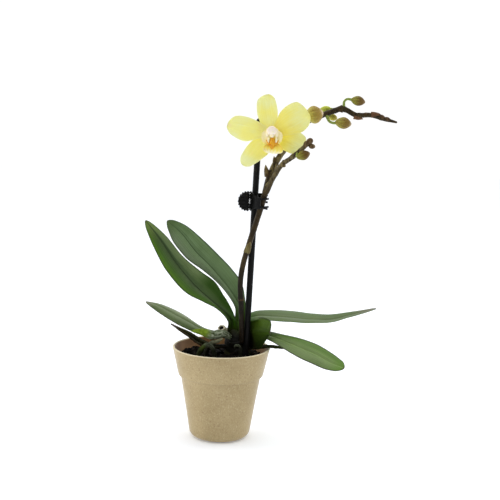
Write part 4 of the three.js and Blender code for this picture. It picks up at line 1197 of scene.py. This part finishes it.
# The angle a tepal leaves the hub at, its length, how far its tip leans and its middle bows to the front,
# its half-widths, and how deep its yellow is.
TEPALS = {
    "sepal_dorsal": dict(
        angle=99, length=28.9, layer="sepal", lean=1, bow=0.8, deep=0.22,
        far=[4.6, 6.8, 8, 8.8, 8.7, 7.9, 6.2], near=[4, 4.8, 5.6, 6.2, 6.1, 5.4, 4.2],
    ),
    "sepal_lateral_left": dict(
        angle=227.7, length=31.4, layer="sepal", lean=-2, bow=0.8, deep=0.3,
        far=[3.2, 6.4, 8, 7.6, 6.8, 5.5, 3.9], near=[3.4, 5.6, 6.9, 7.2, 6.5, 5.4, 4],
    ),
    "sepal_lateral_right": dict(
        angle=336.7, length=26.6, layer="sepal", lean=-7.5, bow=0.3, deep=0.85,
        far=[3.6, 6.2, 7.8, 9.1, 9.4, 8.6, 6.4], near=[3.2, 5.6, 7, 7.3, 7.2, 5.8, 4],
    ),
    "petal_left": dict(
        angle=169.6, length=33.2, layer="petal", lean=1.5, bow=1.6, deep=0.12,
        far=[3, 4.6, 7.2, 9.2, 8.7, 7, 5], near=[3.6, 5.6, 7.2, 8.2, 8.4, 7.6, 5.4],
    ),
    "petal_right": dict(
        angle=29.7, length=30.8, layer="petal", lean=0.5, bow=1.4, deep=0.6,
        far=[3.6, 7.2, 10.8, 12.6, 13, 12.4, 9.8], near=[3.4, 5.2, 7, 8.6, 8.9, 7.6, 5],
    ),
}

PETAL_PALE = tone(242, 244, 204)
PETAL_RICH = tone(245, 242, 166)
PETAL_VEIN = tone(241, 234, 144)
PETAL_BLUSH = tone(242, 224, 180)
PETAL_BASE = tone(252, 249, 230)
PETAL_EDGE = tone(243, 247, 216)
PETAL_DEEP = tone(248, 236, 108)
PETAL_THROUGH = 0.6  # share of the light that passes through

LIP_GRID = (44, 26)
LIP_CREAM = tone(248, 238, 196)
LIP_PALE = tone(252, 247, 222)
LIP_PINK = tone(253, 234, 222)
LIP_YELLOW = tone(246, 226, 96)
LIP_ORANGE = tone(230, 166, 4)
LIP_RUST = tone(216, 136, 0)

# The lip's middle lobe comes forward and down, and spreads into a pale front edge.
LIP_MIDDLE = dict(
    spine=[[0.2, -2.4, 1.9], [0.3, -5, 3.4], [0.4, -7.6, 5.2],
           [0.3, -9.8, 6.8], [0, -11.8, 7.2], [-0.3, -13.8, 6.4]],
    across=[[1, 0, 0], [1, 0, 0.08], [1, 0, 0.24]],
    far=[1.6, 2.6, 4.6, 7.8, 9.4, 9.6], near=[1.6, 2.4, 4, 6.4, 7.8, 8.2], fold=[0.25, 0.2, 0.12], blunt=0.5,
)

# A side lobe stands up beside the column, its broad face toward the front.
LIP_WING = dict(
    spine=[[1.6, -6.6, 3.4], [3.4, -6, 4.4], [4.8, -4.2, 5],
           [5.4, -1.9, 5.2], [5.2, 0.4, 4.8], [4.4, 2.2, 4.2]],
    across=[[1, 0, 0.3], [1, 0, -0.1]],
    far=[1.4, 2, 2.3, 2.3, 2, 1.3], fold=[0.3, 0.35], blunt=0.8,
)

# How yellow, orange and pink a lobe is, by t along it and s across it.
MIDDLE_COLOURS = {
    "yellow": lambda t, s: clipped(1.6 - np.abs(t - 0.5) * 3.4 - 0.25 * np.cos(19 * s)),
    "orange": lambda t, s: 0.75 * hill(t - 0.42, 0.16) * (0.7 + 0.3 * np.cos(13 * s)),
}
WING_COLOURS = {
    "yellow": lambda t, s: np.clip(1 - 1.1 * t, 0.4, 1),
    "orange": lambda t, s: clipped(0.8 - 3 * t),
    "pink": lambda t, s: 0.3 * t,
}

COLUMN = {
    "path": [[0, -0.3, -0.5], [0, 0.6, 2.4], [0.1, 1.8, 4.6], [0.2, 2.4, 6.2]],
    "radii": [2.2, 2.9, 3.3, 2.6],
}

# The flower's stalk comes from the spike, in mm of the frame, and ends in the flower, in its own measures.
PEDICEL = {
    "path": [[46.2, -6.4, 233.6], [43.6, -13, 236.5], [38.4, -19.6, 238.6]],
    "end": [[0.3, 0.2, -3.4], [0, 0, 0.9]],
    "radii": [1.4, 1.4, 1.5, 2, 2.2],
}


def in_flower(points):
    """Places from the flower's own measures."""
    a, b, c = np.moveaxis(np.array(points, float), -1, 0)
    x, y, z = FLOWER["centre"]
    return np.stack([x + a, y - c, z + b], axis=-1)


def petal_material():
    look = Look("petal_skin", 0.55, 0.3)
    along, across = look.value("along"), look.value("across")
    veins = look.streaks(across, 11, along, 1.2, 3, 0.5)
    fine = look.streaks(across, 34, along, 2.5, 2)
    look.colour = look.between(look.noise(70, 3), 0.3, 0.72, PETAL_PALE, PETAL_RICH)
    look.lay(PETAL_VEIN, veins, 0.42, 0.7, 0.5)
    look.lay(PETAL_BLUSH, look.noise(190, 4), 0.56, 0.7, 0.3)
    look.lay(PETAL_BASE, along, 0.36, 0.06, 0.9)
    look.lay(PETAL_EDGE, look.maths("ABSOLUTE", across), 0.8, 1, 0.4)
    look.lay(PETAL_DEEP, look.times(look.value("deep"), look.ranged(along, 0.9, 0.3)))
    look.bump(veins, 0.3, 0.5)
    look.bump(fine, 0.1, 0.45)
    through = look.node("BsdfTranslucent", {"Color": look.colour})
    both = look.node("MixShader", {0: PETAL_THROUGH, 1: look.shader.outputs[0], 2: through.outputs[0]})
    look.feed(look.tree.nodes["Material Output"].inputs["Surface"], both.outputs[0])
    return look.done()


def tepal(form, order):
    """A sepal or petal: it leaves the hub at an angle, and leans and bows to the front or back."""
    turn = math.radians(form["angle"])
    out, side = (math.cos(turn), math.sin(turn)), (-math.sin(turn), math.cos(turn))
    layer, start, root = FLOWER["layers"][form["layer"]], FLOWER["start"], FLOWER["root"]
    spine = [[out[0] * root, out[1] * root, layer * root]]
    for share in np.linspace(0, 1, len(form["far"])):
        reach = start + (form["length"] - start) * share
        rise = layer + form["lean"] * share + form["bow"] * math.sin(math.pi * share)
        spine.append([out[0] * reach, out[1] * reach, rise])
    made = blade_surface({
        "spine": in_flower(spine), "across": [[side[0], 0, side[1]]] * 2,
        "far": [1.2] + form["far"], "near": [1.2] + form["near"],
        "fold": FOLDS[form["layer"]], "blunt": 0.87, "crease": 1.8,
    }, *TEPAL_GRID)
    surface, across, along = made["surface"], made["across"][None, :], made["shares"][:, None]
    edge = np.abs(across)
    ripple = 0.55 * np.sin(7 * along + 2.2 * np.sign(across) + 1.7 * order) * edge**3
    ripple = ripple + 0.16 * np.sin(23 * along + order) * edge**6
    soft = 0.45 * fractal(surface, 13, order * 2.9, 2)
    rib = -0.5 * hill(across, 0.1) * (1 - along)
    veins = 0.07 * np.sin(across * 26 + 1.2 * np.sin(along * 3)) * clipped(1.1 - edge)
    surface = raised(surface, (ripple + soft + rib + veins) * clipped(along * 5))
    thickness = 0.18 + 0.42 * (1 - edge**2) * (1 - 0.5 * along)
    return thickened(surface, thickness, made["shares"], made["across"], values={"deep": form["deep"]})


def lip_material():
    look = Look("lip_skin", 0.42, 0.25)
    cloud = look.noise(420, 3)
    look.colour = look.between(cloud, 0.3, 0.7, LIP_CREAM, LIP_PALE)
    look.lay(LIP_PINK, look.value("pink"))
    look.lay(LIP_YELLOW, look.value("yellow"))
    spotted = look.times(look.value("orange"), look.ranged(look.noise(1500, 2), 0.3, 0.52, 0.55, 1))
    look.lay(look.between(cloud, 0.35, 0.62, LIP_RUST, LIP_ORANGE), spotted)
    look.bump(cloud, 0.15, 0.4)
    look.adjust({"Subsurface Weight": 0.12, "Subsurface Radius": (0.0012, 0.0010, 0.0006)})
    return look.done()


def lip_blade(form, mirror, colours):
    """A lobe of the lip, or its mirror image."""
    across = [[mirror * a, b, c] for a, b, c in form["across"]]
    spine = in_flower(np.array(form["spine"]) * [mirror, 1, 1])
    made = blade_surface(dict(form, across=across, spine=spine), *LIP_GRID)
    surface, s, t = made["surface"], made["across"][None, :], made["shares"][:, None]
    surface = raised(surface, 0.25 * fractal(surface, 4, mirror * 3.0, 2))
    thickness = 0.25 + 0.55 * (1 - s**2) * (1 - 0.4 * t)
    values = {name: rule(t, s) * np.ones_like(t * s) for name, rule in colours.items()}
    return thickened(surface, thickness, made["shares"], made["across"], values=values)


def ball(centre, size, values, bumps=0.0):
    """An ellipsoid, given in the flower's own measures."""
    t = np.linspace(0.02, math.pi - 0.02, 22)[:, None]
    angle = around(28)
    rings = [np.sin(t) * np.cos(angle), np.cos(t) * np.ones(28), np.sin(t) * np.sin(angle)]
    swollen = np.stack(rings, axis=-1) * (1 + bumps * np.sin(angle * 2)[None, :, None] ** 2)
    return skin(in_flower(swollen * np.array(size) / 2 + np.array(centre)), values)


def lip_hook(side):
    """One of the two orange hooks at the front of the lip's ridge."""
    path = [[0.3 + side * k * 1.5, -8 + 0.42 * k * k, 6.6 + 0.2 * k] for k in (0.6, 1.4, 2.2, 3)]
    return tube(in_flower(path), [0.8, 0.7, 0.55, 0.3], 14, 0.3, values={"orange": 1.0, "yellow": 0.7})


def make_lip():
    """The lip with its lobes, crest and hooks, and the column with its cap and hood."""
    waxy = lip_material()
    parts = [lip_blade(LIP_MIDDLE, 1, MIDDLE_COLOURS)]
    parts += [lip_blade(LIP_WING, mirror, WING_COLOURS) for mirror in (1, -1)]
    parts.append(ball([0.3, -5.8, 6.2], [4.4, 7.8, 4], {"orange": 1.0, "yellow": 0.8}))
    parts.append(ball([0.3, -9.2, 6.8], [3, 4, 2.4], {"orange": 0.95, "yellow": 0.9}))
    parts += [ball([0.3 + side * 2.9, -4.2, 7], [1.6, 4.4, 1.6], {"yellow": 0.15}) for side in (-1, 1)]
    parts += [lip_hook(side) for side in (-1, 1)]
    piece("lip_fine", parts, waxy, "lip")

    neck = tube(in_flower(COLUMN["path"]), COLUMN["radii"], 28, 0.3, values={"pink": 0.2})
    cap = ball([-0.3, 2.7, 6.6], [7.2, 6.6, 3.8], {"pink": 0.7}, bumps=0.05)
    beak = ball([0, -0.6, 6.8], [3.6, 3.6, 2.2], {"pink": 0.4, "yellow": 0.2})
    tint = {"pink": 0.3, "yellow": 0.2}
    hood = [ball([side * 3.2 - 0.1, 0.9, 5.2], [3.2, 6.8, 3.4], tint) for side in (-1, 1)]
    piece("column_fine", [neck, cap, beak, *hood], waxy, "column")


def make_flower(coat):
    petal_skin = petal_material()
    for order, (name, form) in enumerate(TEPALS.items()):
        piece(name + "_blade", [tepal(form, order)], petal_skin, name)
    make_lip()
    path = [*PEDICEL["path"], *in_flower(PEDICEL["end"])]
    pedicel = tube(path, PEDICEL["radii"], 22, 0.5, values={"ripe": 0.5, "neck": 0.8})
    piece("pedicel_fine", [pedicel], coat, "flower_pedicel")


# ---------------------------------------------------------------- stake and clip

STAKE = {"radius": 2.4, "foot": [17.2, 0, 7], "top": [24.75, 0, 246.8]}

# Pieces of the clip that follow their nodes: what the piece's name ends in, its slot and body, and the
# size in mm of the blocks that its edges are rounded by.
CLIP_PIECES = {
    "clip_back": ("_moulded", "clip", PLANT, 0.15),
    "clip_front": ("_moulded", "clip", CLIP_JAW, 0.15),
    "clip_pin": ("_wire", "steel", PLANT, 0.12),
    "clip_spring": ("_wire", "steel", PLANT, 0.12),
}


def black_material(name, shade, roughness, grain_mm, specular):
    look = Look(name, roughness, specular)
    scuffs = look.noise(1.0 / (grain_mm * MM), 4, 0.6)
    look.colour = look.between(scuffs, 0.45, 0.8, (shade,) * 3, (2.2 * shade,) * 3)
    look.adjust({"Roughness": look.ranged(scuffs, 0.3, 0.75, roughness - 0.05, roughness + 0.15)})
    look.bump(scuffs, 0.05, 0.5)
    return look.done()


def make_stake():
    def relief(share, angle, places):
        return 0.03 * fractal(places, 6, 3.0, 2)

    foot, top = np.array(STAKE["foot"]), np.array(STAKE["top"])
    rod = tube([foot, (foot + top) / 2, top], [STAKE["radius"]] * 3, 40, 2, relief)
    piece("stake_rod", [rod], black_material("coated_rod", 0.005, 0.4, 1.2, 0.1), "stake")


def softened(node, name, voxel_mm):
    """A node's solid with its edges rounded as moulding leaves them."""
    made = added(name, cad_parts[node].data.copy())
    remesh = made.modifiers.new("voxels", "REMESH")
    remesh.mode = "VOXEL"
    remesh.voxel_size = voxel_mm * MM
    smooth = made.modifiers.new("rounding", "SMOOTH")
    smooth.iterations = 2
    smooth.factor = 0.5
    bpy.context.view_layer.update()
    shown = made.evaluated_get(bpy.context.evaluated_depsgraph_get())
    final = bpy.data.meshes.new_from_object(shown)
    made.modifiers.clear()
    made.data = final
    final.name = name
    final.shade_smooth()
    return made


def steel_material():
    look = Look("spring_steel", 0.24)
    look.adjust({"Metallic": 1})
    brushed = look.noise(1500, 3, stretch=(1, 1, 8))
    look.colour = look.between(brushed, 0.3, 0.7, (0.55, 0.55, 0.56), (0.85, 0.85, 0.85))
    return look.done()


def make_clip():
    plastic = black_material("moulded_plastic", 0.003, 0.3, 0.8, 0.12)
    materials = {"clip": plastic, "steel": steel_material()}
    for node, (ending, slot, body, voxel_mm) in CLIP_PIECES.items():
        placed(softened(node, node + ending, voxel_mm), materials[slot], node, body)


# ---------------------------------------------------------------- the whole scene


def main():
    make_camera()
    make_world()
    make_floor()
    make_lights()
    bpy.context.scene.view_settings.view_transform = "Standard"
    make_pot()
    make_bark()
    make_stem()
    make_leaves()
    make_roots()
    make_spike()
    bud_skin = bud_material()
    make_buds(bud_skin)
    make_flower(bud_skin)
    make_stake()
    make_clip()


main()
